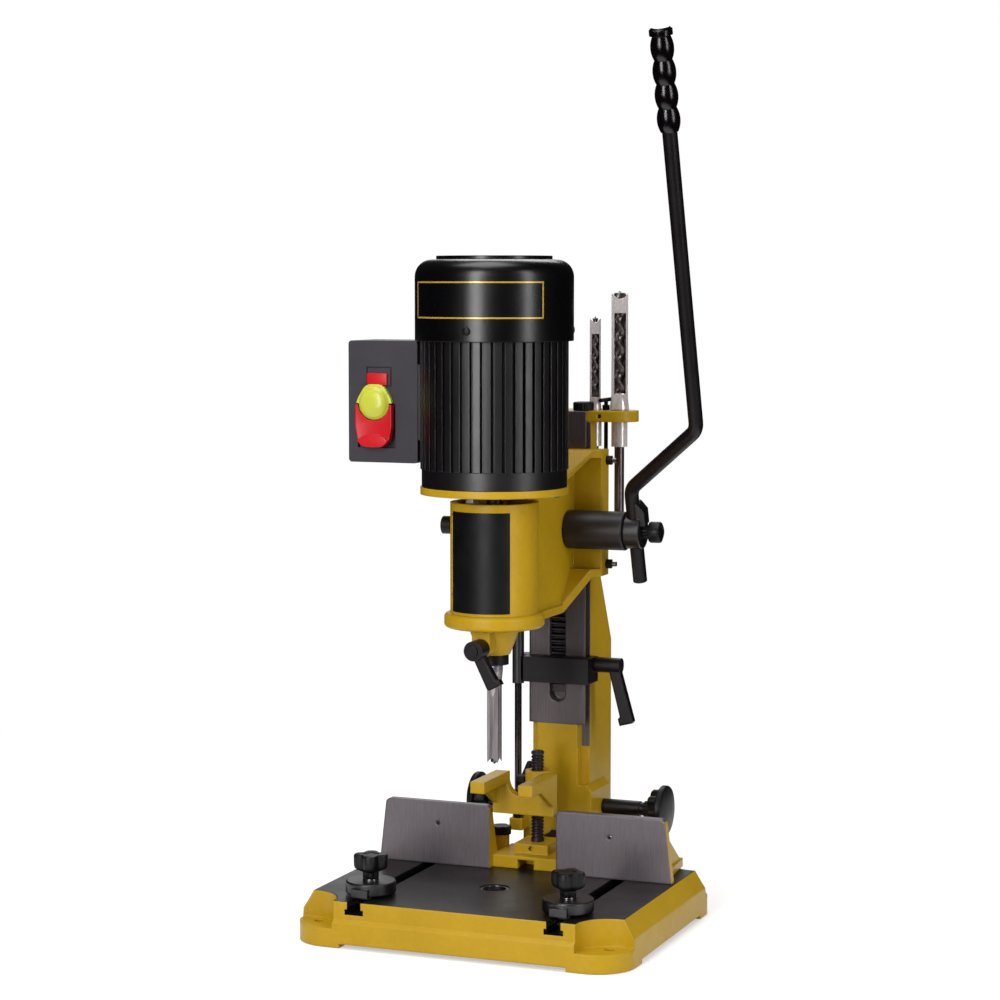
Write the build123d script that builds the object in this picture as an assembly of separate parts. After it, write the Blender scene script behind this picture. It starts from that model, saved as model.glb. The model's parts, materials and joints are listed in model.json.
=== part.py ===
from build123d import *
import math
import os

# Hollow chisel mortiser in millimetres. The origin is the centre of the four bench bolts, on the bench:
# X to the operator's right, Y to the back, Z up. The head is at the top of its travel.
os.makedirs("parts", exist_ok=True)

# Fits
slide_gap = 0.3      # flat or curved faces of different moving bodies
run_gap = 0.05       # radial, shaft in its bore
seat_gap = 0.02      # radial, fixed piece in its seat
tooth_play = 0.7     # tooth thickness taken off each pinion
clamp_screw_radius = 4.0  # screws of the clamp levers and lock knobs

# Base and table
table_width = 366.8
table_depth = 326.0
table_top = 51.0
foot_height = 4.6
side_flare = 13.1
side_skirt = 1.5
front_flare = 5.0
front_band = 20.0
front_ledge = 3.0
base_corner_radius = 44.0
table_thickness = 24.0
base_wall = 11.0
foot_length = 64.0
pocket_radius = 38.5
pocket_inset = 3.4
pocket_floor = 20.5
bolt_spacing_x = 342.0
bolt_spacing_y = 274.0
bolt_hole_radius = 5.5
tail_width = 124.0
tail_wall = 16.0
tail_length = 95.0
slot_spacing = 233.6
slot_neck_width = 16.4
slot_width = 22.2
slot_neck_depth = 8.2
slot_depth = 14.2
slot_stop = 31.0
table_hole_radius = 16.5
table_ring_wall = 3.0
table_ring_depth = 14.0

# Spindle line and chisel
spindle_y = -40.0
chisel_size = 12.7
chisel_tip = 194.0
chisel_body_top = 298.0
chisel_taper = 30.0
chisel_turn = -90.0
chisel_shank_radius = 9.5
chisel_bore_radius = 5.4
bit_radius = 4.8
bit_shank_radius = 4.0
bit_tip_drop = 2.5
chisel_window = (0.33, 0.74, 0.2)

# Column
column_setback = 3.0
dovetail_depth = 14.0
dovetail_width = 71.2
dovetail_neck_width = 51.6
dovetail_bottom = 205.6
column_top = 577.0
column_width = 72.0
column_top_depth = 30.0
column_mid_depth = 51.0
column_mid_z = 377.0
column_depth = 89.5
column_flare_z = 297.0
column_wall = 10.0
column_web = 13.0
column_foot_width = 86.0
column_foot_depth = 64.0
column_foot_top = 133.0
column_bolt_radius = 5.0
column_bolt_spacing_x = 50.0
column_bolt_inset = 22.0
column_bolt_spacing_y = 48.0

# Feed rack, pinion and hub
feed_module = 2.25
feed_teeth = 32
rack_recess = 4.0
rack_width = 20.0
rack_back_wall = 5.0
rack_bottom = 242.0
feed_z = 441.0
pinion_width = 18.0
feed_shaft_radius = 9.0
hub_radius = 22.5
hub_end = 96.5
hub_round = 2.0
index_block_length = 20.0
index_block_radius = 20.0
index_ear_height = 37.0
index_ear_width = 16.0
index_ear_reach = 5.5
index_stub_length = 24.0
index_stud_radius = 4.5
index_neck_radius = 7.6
index_neck_length = 12.0
index_knob_radius = 12.5
index_knob_length = 10.0
index_knob_travel = 8.0

# Lever
lever_lean = 17.4
lever_radius = 8.2
lever_tail = 62.0
lever_first_bend = 53.0
lever_out_x = 206.0
lever_out_drop = 44.0
lever_second_bend = 130.0
lever_grip_start = 468.0
lever_grip_length = 112.0
lever_bend_radius = 20.0
grip_radius = 12.6
grip_waist = 9.6
grip_bulges = 4

# Head casting
head_bottom = 346.5
head_flange_radius = 55.8
head_flange_height = 16.5
housing_radius = 49.0
housing_wall = 7.0
housing_top = 486.0
motor_plate_bottom = 495.0
motor_plate_height = 8.0
arm_width = 58.0
web_width = 48.0
arm_flange = 9.0
arm_pocket_wall = 9.0
slide_plate = 24.0
arm_rise = 57.0
slide_width = 118.0
slide_reach = 22.0
slide_bottom = 385.0
slide_top = 533.0
boss_top_radius = 29.8
boss_bottom_radius = 17.7
boss_bottom = 316.0
collar_radius = 16.0
collar_height = 11.5
clamp_lug_radius = 10.5
clamp_arm_slant = 28.0
clamp_arm_root = 12.0
clamp_arm_end = 15.0
clamp_arm_thick = 11.0
clamp_arm_reach = 46.0
gib_thickness = 5.0
gib_screw_radius = 3.0
gib_screw_inset = 13.0
pinion_room = 2.0
hub_room = 1.5

# Access door on the left of the chuck housing
door_bottom_margin = 21.0
door_top_margin = 12.0
door_front_angle = 222.0
door_back_angle = 148.0
door_edge_gap = 1.2
door_hinge_angle = 139.0
door_hinge_radius = 54.0
door_pin_radius = 2.0
door_knuckle_radius = 4.2
door_knob_radius = 10.0
door_knob_length = 12.0
door_knob_drop = 16.0

# Motor
motor_radius = 82.0
fin_count = 44
fin_depth = 5.5
fin_gap = 3.4
shield_top = 523.0
shield_radius = 80.5
motor_body_top = 682.0
motor_inner_radius = 70.0
motor_roof = 12.0
stator_length = 88.0
stator_inner_radius = 40.0
rotor_air_gap = 1.0
bearing_radius = 20.0
bearing_height = 12.0
spindle_radius = 9.0
motor_bolt_circle = 66.0
motor_bolt_radius = 4.0
fan_cover_radius = 87.7
fan_cover_bottom = 664.0
motor_top = 757.0
fan_cover_wall = 2.5
fan_cover_round = 19.0
fan_crown = 4.0
fan_crown_radius = 64.0
fan_radius = 70.0
fan_height = 22.0
fan_blades = 8
fan_blade = 3.0
fan_plate = 2.5
fan_lift = 12.0
grille_slots = 24
grille_slot_width = 3.5
fan_screw_radius = 2.5
fan_screw_head = 2.5
chuck_radius = 21.0
chuck_bottom = 376.0
chuck_top = 440.0
chuck_taper = 18.0
spindle_grip = 20.0

# Switch box
switch_left = -168.0
switch_width = 84.0
switch_front = -60.0
switch_depth = 62.0
switch_bottom = 527.2
switch_height = 136.0
switch_wall = 3.0
switch_pad_depth = 40.0
switch_pad_height = 84.0
paddle_left_inset = 12.0
paddle_width = 44.0
paddle_bottom_inset = 17.5
paddle_height = 47.0
paddle_thickness = 9.5
paddle_proud = 9.0
paddle_recess = 6.0
key_radius = 18.5
key_height = 13.0
key_stem_radius = 7.0
paddle_pin_radius = 1.5
paddle_pin_length = 3.0
paddle_ear = 3.0
paddle_ledge = 3.0
switch_round = 4.0

# Gas spring beside the dovetail
gas_x = -44.0
gas_forward = 15.0
gas_rod_radius = 4.2
gas_cylinder_radius = 7.0
gas_cylinder_bottom = 254.0
gas_cylinder_length = 216.0
gas_boss_wall = 4.5
gas_lug_top = 92.0
gas_lug_height = 14.0
gas_rod_length = 190.0

# Depth stop
stop_bottom = 257.0
stop_height = 30.0
stop_width = 92.0
stop_reach = 21.5
stop_hook = 12.0
stop_lever_z = 278.0
stop_hub_radius = 9.0
stop_hub_length = 32.0
stop_lever_reach = 71.0
stop_lever_slant = 15.0
stop_lever_root = 13.0
stop_lever_end = 15.0
stop_lever_thick = 12.0

# Fence
fence_setback = 113.4
fence_height = 73.5
fence_inner = 41.0
fence_outer_bottom = 180.0
fence_outer_top = 171.6
fence_plate = 10.0
fence_corner = 6.0
fence_depth = 93.4
fence_foot_height = 10.0
fence_rib = 8.0
fence_hole_x = 105.7
fence_hole_drop = 25.0
fence_hole_radius = 2.5
bridge_height = 14.5
fence_block_width = 42.0
fence_block_inset = 26.4
fence_block_depth = 47.0
fence_block_height = 26.0
block_screw_radius = 3.0
block_screw_depth = 6.0
block_screw_drop = 5.0
fence_notch_width = 20.0
fence_notch_height = 10.5
fence_module = 1.5
fence_teeth = 36
fence_shaft_depth = 44.0
fence_shaft_z = 101.0
fence_shaft_radius = 8.0
fence_sleeve_radius = 9.2
fence_sleeve_end = 90.0
fence_pinion_width = 13.0
fence_rack_width = 15.0
fence_rack_height = 12.0
fence_rack_tail = 86.0
fence_knob_radius = 30.0
fence_knob_x = 119.5
fence_knob_thickness = 13.0
fence_knob_round = 3.0
fence_knob_neck = 8.0
fence_knob_flutes = 12
fence_flute_radius = 4.0
fence_lock_x = -50.0
fence_lock_inset = 59.4
lock_boss_height = 18.0
lock_knob_height = 10.0
lock_knob_dip = 4.0

# Hold-down
post_inset = 48.4
post_seat_floor = 4.0
post_radius = 7.6
post_top = 184.0
post_thread_pitch = 4.0
post_thread_depth = 1.2
fork_width = 75.0
fork_gap = 41.0
fork_reach = 66.6
fork_web_inset = 1.4
fork_web = 11.0
fork_bottom = 117.0
fork_notch_bottom = 137.0
fork_top = 165.0
fork_prong_height = 13.0
fork_sleeve_radius = 14.5
fork_sleeve_bottom = 124.0
fork_lever_z = 146.0

# Hold-in clamps in the T-slots
clamp_y = -117.5
clamp_disc_radius = 28.0
clamp_disc_height = 14.0
clamp_disc_lift = 2.0
clamp_nose = 4.0
clamp_nose_width = 20.0
clamp_nose_height = 9.0
clamp_stud_radius = 5.0
clamp_head_width = 20.0
clamp_head_height = 4.4
clamp_washer_radius = 9.0
clamp_washer_height = 2.0
clamp_knob_neck_height = 8.0
clamp_knob_height = 19.0
clamp_knob_radius = 19.0
clamp_knob_lobes = 4
clamp_knob_dip = 6.5
clamp_disc_round = 2.0

# Tool holder on the column top
holder_thickness = 13.0
holder_left = -30.0
holder_right = 86.0
holder_depth = 62.0
holder_screw_x = 24.0
holder_screw_inset = 22.0
holder_screw_radius = 12.5
holder_screw_height = 12.0
holder_edge_hole_radius = 2.5
holder_edge_hole_depth = 8.0
store_inset = 43.0
large_x = 61.6
large_size = 19.05
large_tip = 715.0
large_bit_end = 446.0
small_x = 31.0
small_size = 12.7
small_tip = 685.0
small_bit_end = 500.0
store_shank_radius = 7.8
store_wall = 1.5
store_shank_length = 43.0
store_shoulder = 0.6
store_turn = 21.8
store_window = (0.17, 0.87, 0.36)
key_x = 44.8
key_shaft_radius = 2.4
key_head_radius = 3.6
key_tip_length = 14.0
key_bar_length = 40.0
key_bar_lift = 12.0
key_rest_radius = 4.4
key_end = 466.0

# Worked out from the values above
half_table = table_width / 2
half_depth = table_depth / 2
half_base = half_table + side_flare
half_base_depth = half_depth + front_flare
slot_x = slot_spacing / 2
dovetail_front = half_depth - column_setback
neck_y = dovetail_front + dovetail_depth
column_back_top = dovetail_front + column_top_depth
column_back_mid = dovetail_front + column_mid_depth
column_back = dovetail_front + column_depth
column_foot_back = dovetail_front + column_foot_depth
column_bolt_front = dovetail_front + column_bolt_inset
column_bolt_back = column_bolt_front + column_bolt_spacing_y
tail_back = half_depth + tail_length
slot_back = half_depth - slot_stop
slide_front = dovetail_front - slide_reach
arm_low_back = dovetail_front - arm_rise
gas_y = dovetail_front - gas_forward
stop_front = dovetail_front - stop_reach
fence_front = dovetail_front - fence_setback
fence_back = fence_front + fence_depth
fence_block_front = fence_front + fence_block_inset
fence_block_back = fence_block_front + fence_block_depth
fence_shaft_y = dovetail_front + fence_shaft_depth
fence_rack_back = fence_shaft_y + fence_rack_tail
fence_lock_y = fence_front + fence_lock_inset
post_y = fence_front + post_inset
fork_web_front = fence_front + fork_web_inset
fork_tip = fence_front - fork_reach
holder_back = dovetail_front + holder_depth
holder_screw_y = dovetail_front + holder_screw_inset
store_y = dovetail_front + store_inset
rack_tip_y = dovetail_front + rack_recess
feed_pitch_radius = feed_module * feed_teeth / 2
feed_y = rack_tip_y + feed_module - feed_pitch_radius
lever_out_y = feed_y - lever_out_drop
fence_pitch_radius = fence_module * fence_teeth / 2
fence_rack_pitch_z = fence_shaft_z - fence_pitch_radius
fence_bottom = table_top + slide_gap
motor_plate_top = motor_plate_bottom + motor_plate_height
housing_floor = head_bottom + head_flange_height
door_bottom = housing_floor + door_bottom_margin
door_top = housing_top - door_top_margin
door_knob_z = door_top - door_knob_drop
arm_half = arm_width / 2
slide_half = slide_width / 2
slide_back = neck_y - 4 * slide_gap
holder_bottom = column_top - holder_thickness
lever_dir = (0, -math.sin(math.radians(lever_lean)), math.cos(math.radians(lever_lean)))
hub_start = web_width / 2 + slide_gap
feed_shaft_start = 3 - web_width / 2
block_start = hub_end + slide_gap
block_end = block_start + index_block_length
lever_x = (block_start + block_end) / 2


def box(x0, x1, y0, y1, z0, z1):
    return Pos((x0 + x1) / 2, (y0 + y1) / 2, (z0 + z1) / 2) * Box(x1 - x0, y1 - y0, z1 - z0)


def rod_x(radius, x0, x1, y, z):
    return Pos((x0 + x1) / 2, y, z) * Rot(0, 90, 0) * Cylinder(radius, x1 - x0)


def rod_y(radius, y0, y1, x, z):
    return Pos(x, (y0 + y1) / 2, z) * Rot(90, 0, 0) * Cylinder(radius, y1 - y0)


def rod_z(radius, z0, z1, x=0.0, y=0.0):
    return Pos(x, y, (z0 + z1) / 2) * Cylinder(radius, z1 - z0)


def cone_z(bottom, top, z0, z1, x=0.0, y=0.0):
    return Pos(x, y, (z0 + z1) / 2) * Cone(bottom, top, z1 - z0)


def prism_x(points, x0, x1):
    """Outline in (y, z), pulled along X."""
    face = make_face(Polyline(*points, close=True))
    return extrude(Plane((x0, 0, 0), (0, 1, 0), (1, 0, 0)) * face, x1 - x0)


def prism_y(points, y0, y1):
    """Outline in (x, z), pulled along Y."""
    face = make_face(Polyline(*points, close=True))
    return extrude(Plane((0, y1, 0), (1, 0, 0), (0, -1, 0)) * face, y1 - y0)


def prism_z(points, z0, z1):
    """Outline in (x, y), pulled along Z."""
    return extrude(Pos(0, 0, z0) * make_face(Polyline(*points, close=True)), z1 - z0)


def turned(points, x=0.0, y=0.0):
    """Outline in (radius, z), turned about a vertical axis."""
    face = Plane.XZ * make_face(Polyline(*points, close=True))
    return Pos(x, y, 0) * revolve(face, Axis.Z)


def at_angle(radius, angle):
    return radius * math.cos(math.radians(angle)), radius * math.sin(math.radians(angle))


def gear_outline(module, teeth, play, phase, cy, cz):
    """Involute gear in a plane of constant x, one tooth centred on the phase angle, points as (y, z)."""
    pitch = module * teeth / 2
    base = pitch * math.cos(math.radians(20))
    tip = pitch + module
    root = pitch - 1.25 * module
    start = max(base, root + 0.05 * module)

    def involute(radius):
        angle = math.acos(min(1.0, base / radius))
        return math.tan(angle) - angle

    half = math.pi / (2 * teeth) - play / (2 * pitch)
    spread = [half + involute(pitch) - involute(r) for r in (start, pitch, tip)]
    points = []
    for tooth in range(teeth):
        centre = math.radians(phase) + 2 * math.pi * tooth / teeth
        rising = [(root, -spread[0]), (start, -spread[0]), (pitch, -spread[1]), (tip, -spread[2])]
        falling = [(radius, -angle) for radius, angle in reversed(rising)]
        for radius, angle in rising + falling:
            points.append((cy + radius * math.cos(centre + angle), cz + radius * math.sin(centre + angle)))
    return points


def rack_teeth(module, gap_at, start, end):
    """Straight rack along an axis: (along, height over the pitch line) pairs, a gap centred on gap_at."""
    pitch = math.pi * module
    slope = math.tan(math.radians(20))
    root = -1.25 * module
    points = []
    first = math.ceil((start - gap_at) / pitch)
    last = math.floor((end - gap_at) / pitch)
    for gap in range(first, last):
        centre = gap_at + (gap + 0.5) * pitch
        points.append((centre - pitch / 4 + root * slope, root))
        points.append((centre - pitch / 4 + module * slope, module))
        points.append((centre + pitch / 4 - module * slope, module))
        points.append((centre + pitch / 4 - root * slope, root))
    return points


def lobed(radius, lobes, dip, z0, z1, x, y):
    """Hand knob with round lobes, upright."""
    body = rod_z(radius, z0, z1, x, y)
    for lobe in range(lobes):
        cx, cy = at_angle(radius + dip * 0.45, 360 / lobes * (lobe + 0.5))
        body -= rod_z(dip, z0 - 1, z1 + 1, x + cx, y + cy)
    return body


def clamp_arm(root, end, thick, reach):
    """Flat lever handle along Z that widens to a lipped end."""
    lip = 0.12 * reach
    outline = Polyline((-root / 2, 0), (root / 2, 0), (end / 2, reach - 2), (end / 2 - 2, reach),
                       (-0.7 * end, reach), (-0.7 * end, reach - lip), (-end / 2, reach - lip - 2), close=True)
    arm = extrude(Plane.XZ * make_face(outline), thick / 2, both=True)
    return fillet(arm.edges().filter_by(Axis.Y, reverse=True), 0.2 * thick)


def cap_screw(radius, head_radius, head_height, z0, z1, x, y):
    """Socket head screw with its head below."""
    screw = rod_z(radius, z0 + head_height, z1, x, y) + rod_z(head_radius, z0, z0 + head_height, x, y)
    return screw - rod_z(radius * 0.6, z0 - 1, z0 + head_height * 0.6, x, y)


def base_casting():
    band = table_top - front_band
    side = half_base - side_skirt
    sides = prism_y([(-half_base, foot_height), (half_base, foot_height), (side, band), (half_table, table_top),
                     (-half_table, table_top), (-side, band)], -2 * table_depth, 2 * table_depth)
    ledge = half_base_depth - front_flare / 5
    edge = [(half_base_depth, foot_height), (ledge, band - front_ledge), (half_depth, band),
            (half_depth, table_top)]
    fronts = prism_x(edge + [(-y, z) for y, z in edge[::-1]], -table_width, table_width)
    outline = RectangleRounded(2 * half_base, 2 * half_base_depth, base_corner_radius)
    body = sides & fronts & extrude(outline, table_top)
    tail = box(-tail_width / 2, tail_width / 2, half_depth - base_wall, tail_back, foot_height, table_top)
    body += fillet(tail.edges().filter_by(Axis.Z).sort_by(Axis.Y)[-2:], base_wall)
    # four feet under the corners
    pads = extrude(outline, foot_height)
    for sx in (-1, 1):
        for sy in (-1, 1):
            cx = sx * (half_base - foot_length / 2)
            cy = sy * (half_base_depth - foot_length / 2)
            body += pads & Pos(cx, cy, foot_height / 2) * Box(foot_length, foot_length, foot_height)
    # open underside, leaving solid corners under the pockets
    roof = table_top - table_thickness
    wide = half_table - base_wall
    deep = half_depth - base_wall
    corner = foot_length
    body -= box(-wide, wide, corner - deep, deep - corner, -1, roof)
    body -= box(corner - wide, wide - corner, -deep, deep, -1, roof)
    tail_half = tail_width / 2 - tail_wall
    body -= box(-tail_half, tail_half, half_depth, tail_back - tail_wall, -1, roof)
    for sx in (-1, 1):
        for sy in (-1, 1):
            px = sx * (half_table - pocket_inset)
            body -= rod_z(pocket_radius, pocket_floor, table_top + 1, px, sy * half_depth)
            body -= rod_z(bolt_hole_radius, -1, table_top, sx * bolt_spacing_x / 2, sy * bolt_spacing_y / 2)
        neck = slot_neck_width / 2
        wing = slot_width / 2
        body -= box(sx * slot_x - neck, sx * slot_x + neck, -table_depth, slot_back, table_top - slot_depth,
                    table_top + 1)
        body -= box(sx * slot_x - wing, sx * slot_x + wing, -table_depth, slot_back,
                    table_top - slot_depth, table_top - slot_neck_depth)
    body -= rod_z(table_hole_radius, -1, table_top + 1, 0, spindle_y)
    for x, y in column_bolt_places():
        body -= rod_z(column_bolt_radius + seat_gap, 0, table_top + 1, x, y)
    return body


def column_bolt_places():
    half = column_bolt_spacing_x / 2
    return [(x, y) for x in (-half, half) for y in (column_bolt_front, column_bolt_back)]


def table_ring():
    outer = table_hole_radius - seat_gap
    top = table_top - 1
    ring = rod_z(outer, top - table_ring_depth, top, 0, spindle_y)
    return ring - rod_z(table_hole_radius - table_ring_wall, 0, table_top, 0, spindle_y)


def dovetail(front, grow, z0, z1):
    """Dovetail in plan, grown by a clearance on its front and flanks."""
    wide = dovetail_width / 2 + grow
    narrow = dovetail_neck_width / 2 + grow
    return prism_z([(-wide, front - grow), (wide, front - grow), (narrow, neck_y), (-narrow, neck_y)], z0,
                   z1)


def column():
    half = column_width / 2
    body = prism_x([(neck_y, table_top), (neck_y, holder_bottom), (column_back_top, holder_bottom),
                    (column_back_mid, column_mid_z), (column_back, column_flare_z),
                    (column_back, table_top)],
                   -half, half)
    # open back above the foot
    cavity_top = holder_bottom - 2 * column_wall
    cavity = box(column_wall - half, half - column_wall, neck_y + column_web, column_back + 1,
                 column_foot_top + column_wall, cavity_top)
    body -= cavity
    body += dovetail(dovetail_front, 0, dovetail_bottom, column_top)
    rib = dovetail_neck_width / 2
    body += box(-rib, rib, dovetail_front, neck_y + 1, table_top, dovetail_bottom)
    foot_half = column_foot_width / 2
    slope = foot_half - half
    body += prism_y([(-foot_half, table_top), (foot_half, table_top), (foot_half, column_foot_top - slope),
                     (half, column_foot_top), (-half, column_foot_top),
                     (-foot_half, column_foot_top - slope)],
                    dovetail_front, column_foot_back)
    # lug for the gas spring's lower end
    lug = gas_cylinder_radius + 1
    body += box(gas_x - lug, gas_x + lug, gas_y - lug, neck_y + 1, gas_lug_top - gas_lug_height,
                gas_lug_top)
    body -= rod_z(gas_rod_radius + seat_gap, gas_lug_top - gas_lug_height / 2, gas_lug_top + 1, gas_x,
                  gas_y)
    # rack slot with a round lower end
    slot_half = rack_width / 2
    slot_floor = rack_tip_y + 2.25 * feed_module + rack_back_wall
    body -= box(-slot_half, slot_half, dovetail_front - 1, slot_floor, rack_bottom, column_top + 1)
    body -= rod_y(slot_half, dovetail_front - 1, slot_floor, 0, rack_bottom)
    # fence shaft bore, pinion room and rack tunnel in the foot
    body -= rod_x(fence_shaft_radius + run_gap, -foot_half - 1, foot_half + 1, fence_shaft_y, fence_shaft_z)
    room = fence_pitch_radius + fence_module + pinion_room
    body -= rod_x(room, -fence_pinion_width / 2 - 1, fence_pinion_width / 2 + 1, fence_shaft_y,
                  fence_shaft_z)
    tunnel = fence_rack_width / 2 + 1
    body -= box(-tunnel, tunnel, dovetail_front - 1, column_back + 1,
                fence_rack_pitch_z - fence_rack_height - 2 * fence_module - 1,
                fence_rack_pitch_z + fence_module + 1)
    for x, y in column_bolt_places():
        body -= rod_z(column_bolt_radius + seat_gap, 0, column_bolt_top() + 2, x, y)
    for x in holder_screw_places():
        body -= rod_z(holder_screw_shank() + seat_gap, holder_bottom - 1.5 * column_wall, column_top + 1,
                      x, holder_screw_y)
    return body


def column_bolt_top():
    return table_top + 3 * column_bolt_radius


def column_bolts():
    roof = table_top - table_thickness
    head = 1.6 * column_bolt_radius
    return [cap_screw(column_bolt_radius, head, head, roof - head, column_bolt_top(), x, y)
            for x, y in column_bolt_places()]


def feed_rack():
    pitch_y = rack_tip_y + feed_module
    teeth = rack_teeth(feed_module, feed_z, rack_bottom + feed_module, column_top - feed_module)
    back = rack_tip_y + 2.25 * feed_module + rack_back_wall
    points = [(back, rack_bottom), (rack_tip_y + 2.25 * feed_module, rack_bottom)]
    points += [(pitch_y - height, along) for along, height in teeth]
    points += [(rack_tip_y + 2.25 * feed_module, column_top), (back, column_top)]
    half = rack_width / 2 - seat_gap
    return prism_x(points, -half, half)


def holder_screw_places():
    return [-holder_screw_x, holder_screw_x]


def holder_screw_shank():
    return holder_screw_radius * 0.4


def tool_holder():
    front = neck_y + slide_gap
    width = holder_back - front
    nose = width / 2
    plate = box(holder_left, holder_right - nose, front, holder_back, holder_bottom, column_top)
    plate += rod_z(nose, holder_bottom, column_top, holder_right - nose, front + nose)
    for x in holder_screw_places():
        plate -= rod_z(holder_screw_shank() + seat_gap, holder_bottom - 1, column_top + 1, x,
                       holder_screw_y)
    for x, size in ((large_x, large_size), (small_x, small_size)):
        plate -= rod_z(store_shank(size) + slide_gap, holder_bottom - 1, column_top + 1, x, store_y)
    plate -= rod_z(key_head_radius + slide_gap, holder_bottom - 1, column_top + 1, key_x, store_y)
    edge_z = (holder_bottom + column_top) / 2
    plate -= rod_y(holder_edge_hole_radius, front - 1, front + holder_edge_hole_depth,
                   (small_x + large_x) / 2, edge_z)
    return plate


def tool_holder_screws():
    screws = []
    for x in holder_screw_places():
        head_top = column_top + holder_screw_height
        screw = rod_z(holder_screw_shank(), holder_bottom - column_wall, column_top + 1, x, holder_screw_y)
        screw += rod_z(holder_screw_radius, column_top, head_top, x, holder_screw_y)
        screw += rod_z(holder_screw_radius * 0.45, head_top - 1, head_top + 0.8 * holder_screw_height, x,
                       holder_screw_y)
        screws.append(screw)
    return screws


def hollow_chisel(size, shank_radius, tip, body_end, shank_end, bore, window):
    """Square hollow chisel on the Z axis: cutting end at tip, round shank from body_end to shank_end."""
    up = 1 if shank_end > tip else -1
    low, high = sorted((tip, body_end))
    body = box(-size / 2, size / 2, -size / 2, size / 2, low, high)
    low, high = sorted((body_end - up, shank_end))
    body += rod_z(shank_radius, low, high)
    low, high = sorted((tip - up, shank_end + up))
    body -= rod_z(bore, low, high)
    # hollow-ground cutting corners
    deep = 0.5 * size
    if up > 0:
        body -= cone_z(0.72 * size, bore, tip - 0.5, tip + deep)
    else:
        body -= cone_z(bore, 0.72 * size, tip - deep, tip + 0.5)
    # chip window in the front face: its ends along the body and half its width
    low, high = sorted(tip + share * (body_end - tip) for share in window[:2])
    half = window[2] * size
    return body - box(-half, half, -size, 0, low, high)


def auger(radius, shank_radius, head_end, shank_start, shank_end, x, y):
    """Bit: fluted part from head_end to shank_start, then a plain shank."""
    low, high = sorted((head_end, shank_start))
    body = rod_z(radius, low, high, x, y)
    low, high = sorted((shank_start, shank_end))
    return body + rod_z(shank_radius, low, high, x, y)


def mortise_chisel():
    top = housing_floor - head_flange_height / 2
    chisel = hollow_chisel(chisel_size, chisel_shank_radius, chisel_tip, chisel_body_top, top,
                           chisel_bore_radius, chisel_window)
    taper = cone_z(0.5 * chisel_size, chisel_shank_radius, chisel_body_top - chisel_taper, chisel_body_top)
    chisel += taper - rod_z(chisel_bore_radius, chisel_body_top - chisel_taper - 1, chisel_body_top + 1)
    return Pos(0, spindle_y, 0) * Rot(0, 0, chisel_turn) * chisel


def auger_bit():
    return auger(bit_radius, bit_shank_radius, chisel_tip - bit_tip_drop, head_bottom,
                 chuck_bottom + chuck_grip(), 0, spindle_y)


def chuck_grip():
    return 0.5 * (chuck_top - chuck_bottom)


def store_shank(size):
    """Shank of a stored chisel: never thinner than its bore and a wall."""
    return max(store_shank_radius, 0.42 * size + store_wall)


def stored_chisel(size, tip, x):
    body_end = column_top + 1
    shank_end = column_top - store_shank_length
    bore = 0.42 * size - run_gap
    chisel = hollow_chisel(size, store_shank(size), tip, body_end, shank_end, bore, store_window)
    shoulder = cone_z(store_shoulder * size, 0.5 * size, body_end, body_end + size)
    chisel += shoulder - rod_z(bore, body_end - 1, body_end + 2 * size)
    return Pos(x, store_y, 0) * Rot(0, 0, store_turn) * chisel


def stored_bit(size, tip, end, x):
    shank = min(0.36 * size, store_shank_radius - 2)
    return auger(0.42 * size - 2 * run_gap, shank, tip + bit_tip_drop, column_top, end, x, store_y)


def chuck_key():
    bar_z = column_top + key_bar_lift
    half_bar = key_bar_length / 2
    key = rod_z(key_shaft_radius, key_end, bar_z, key_x, store_y)
    key += cone_z(key_shaft_radius, key_head_radius, key_end, key_end + key_tip_length, key_x, store_y)
    key += rod_y(key_shaft_radius, store_y - half_bar, store_y + half_bar, key_x, bar_z)
    return key + rod_z(key_rest_radius, column_top, column_top + key_bar_lift / 2, key_x, store_y)


def gas_spring_rod():
    rod = rod_z(gas_rod_radius, gas_lug_top - gas_lug_height / 2, gas_lug_top + gas_rod_length, gas_x,
                gas_y)
    return rod + rod_z(1.6 * gas_rod_radius, gas_lug_top, gas_lug_top + 2.5 * gas_rod_radius, gas_x, gas_y)


def gas_top():
    return gas_cylinder_bottom + gas_cylinder_length


def gas_spring_cylinder():
    tube = rod_z(gas_cylinder_radius, gas_cylinder_bottom, gas_top(), gas_x, gas_y)
    bore = rod_z(gas_rod_radius + 2 * run_gap, gas_cylinder_bottom - 1, gas_top() - gas_cylinder_radius,
                 gas_x, gas_y)
    return tube - bore


def door_points(angle, radius):
    x, y = at_angle(radius, angle)
    return x, spindle_y + y


def ring_sector(inner, outer, angle0, angle1, z0, z1):
    """Part of an upright ring about the spindle, between two angles."""
    ring = rod_z(outer, z0, z1, 0, spindle_y) - rod_z(inner, z0 - 1, z1 + 1, 0, spindle_y)
    far = 3 * outer
    middle = (angle0 + angle1) / 2
    wedge = [(0, spindle_y), door_points(angle0, far), door_points(middle, far), door_points(angle1, far)]
    return ring & prism_z(wedge, z0 - 1, z1 + 1)


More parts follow.
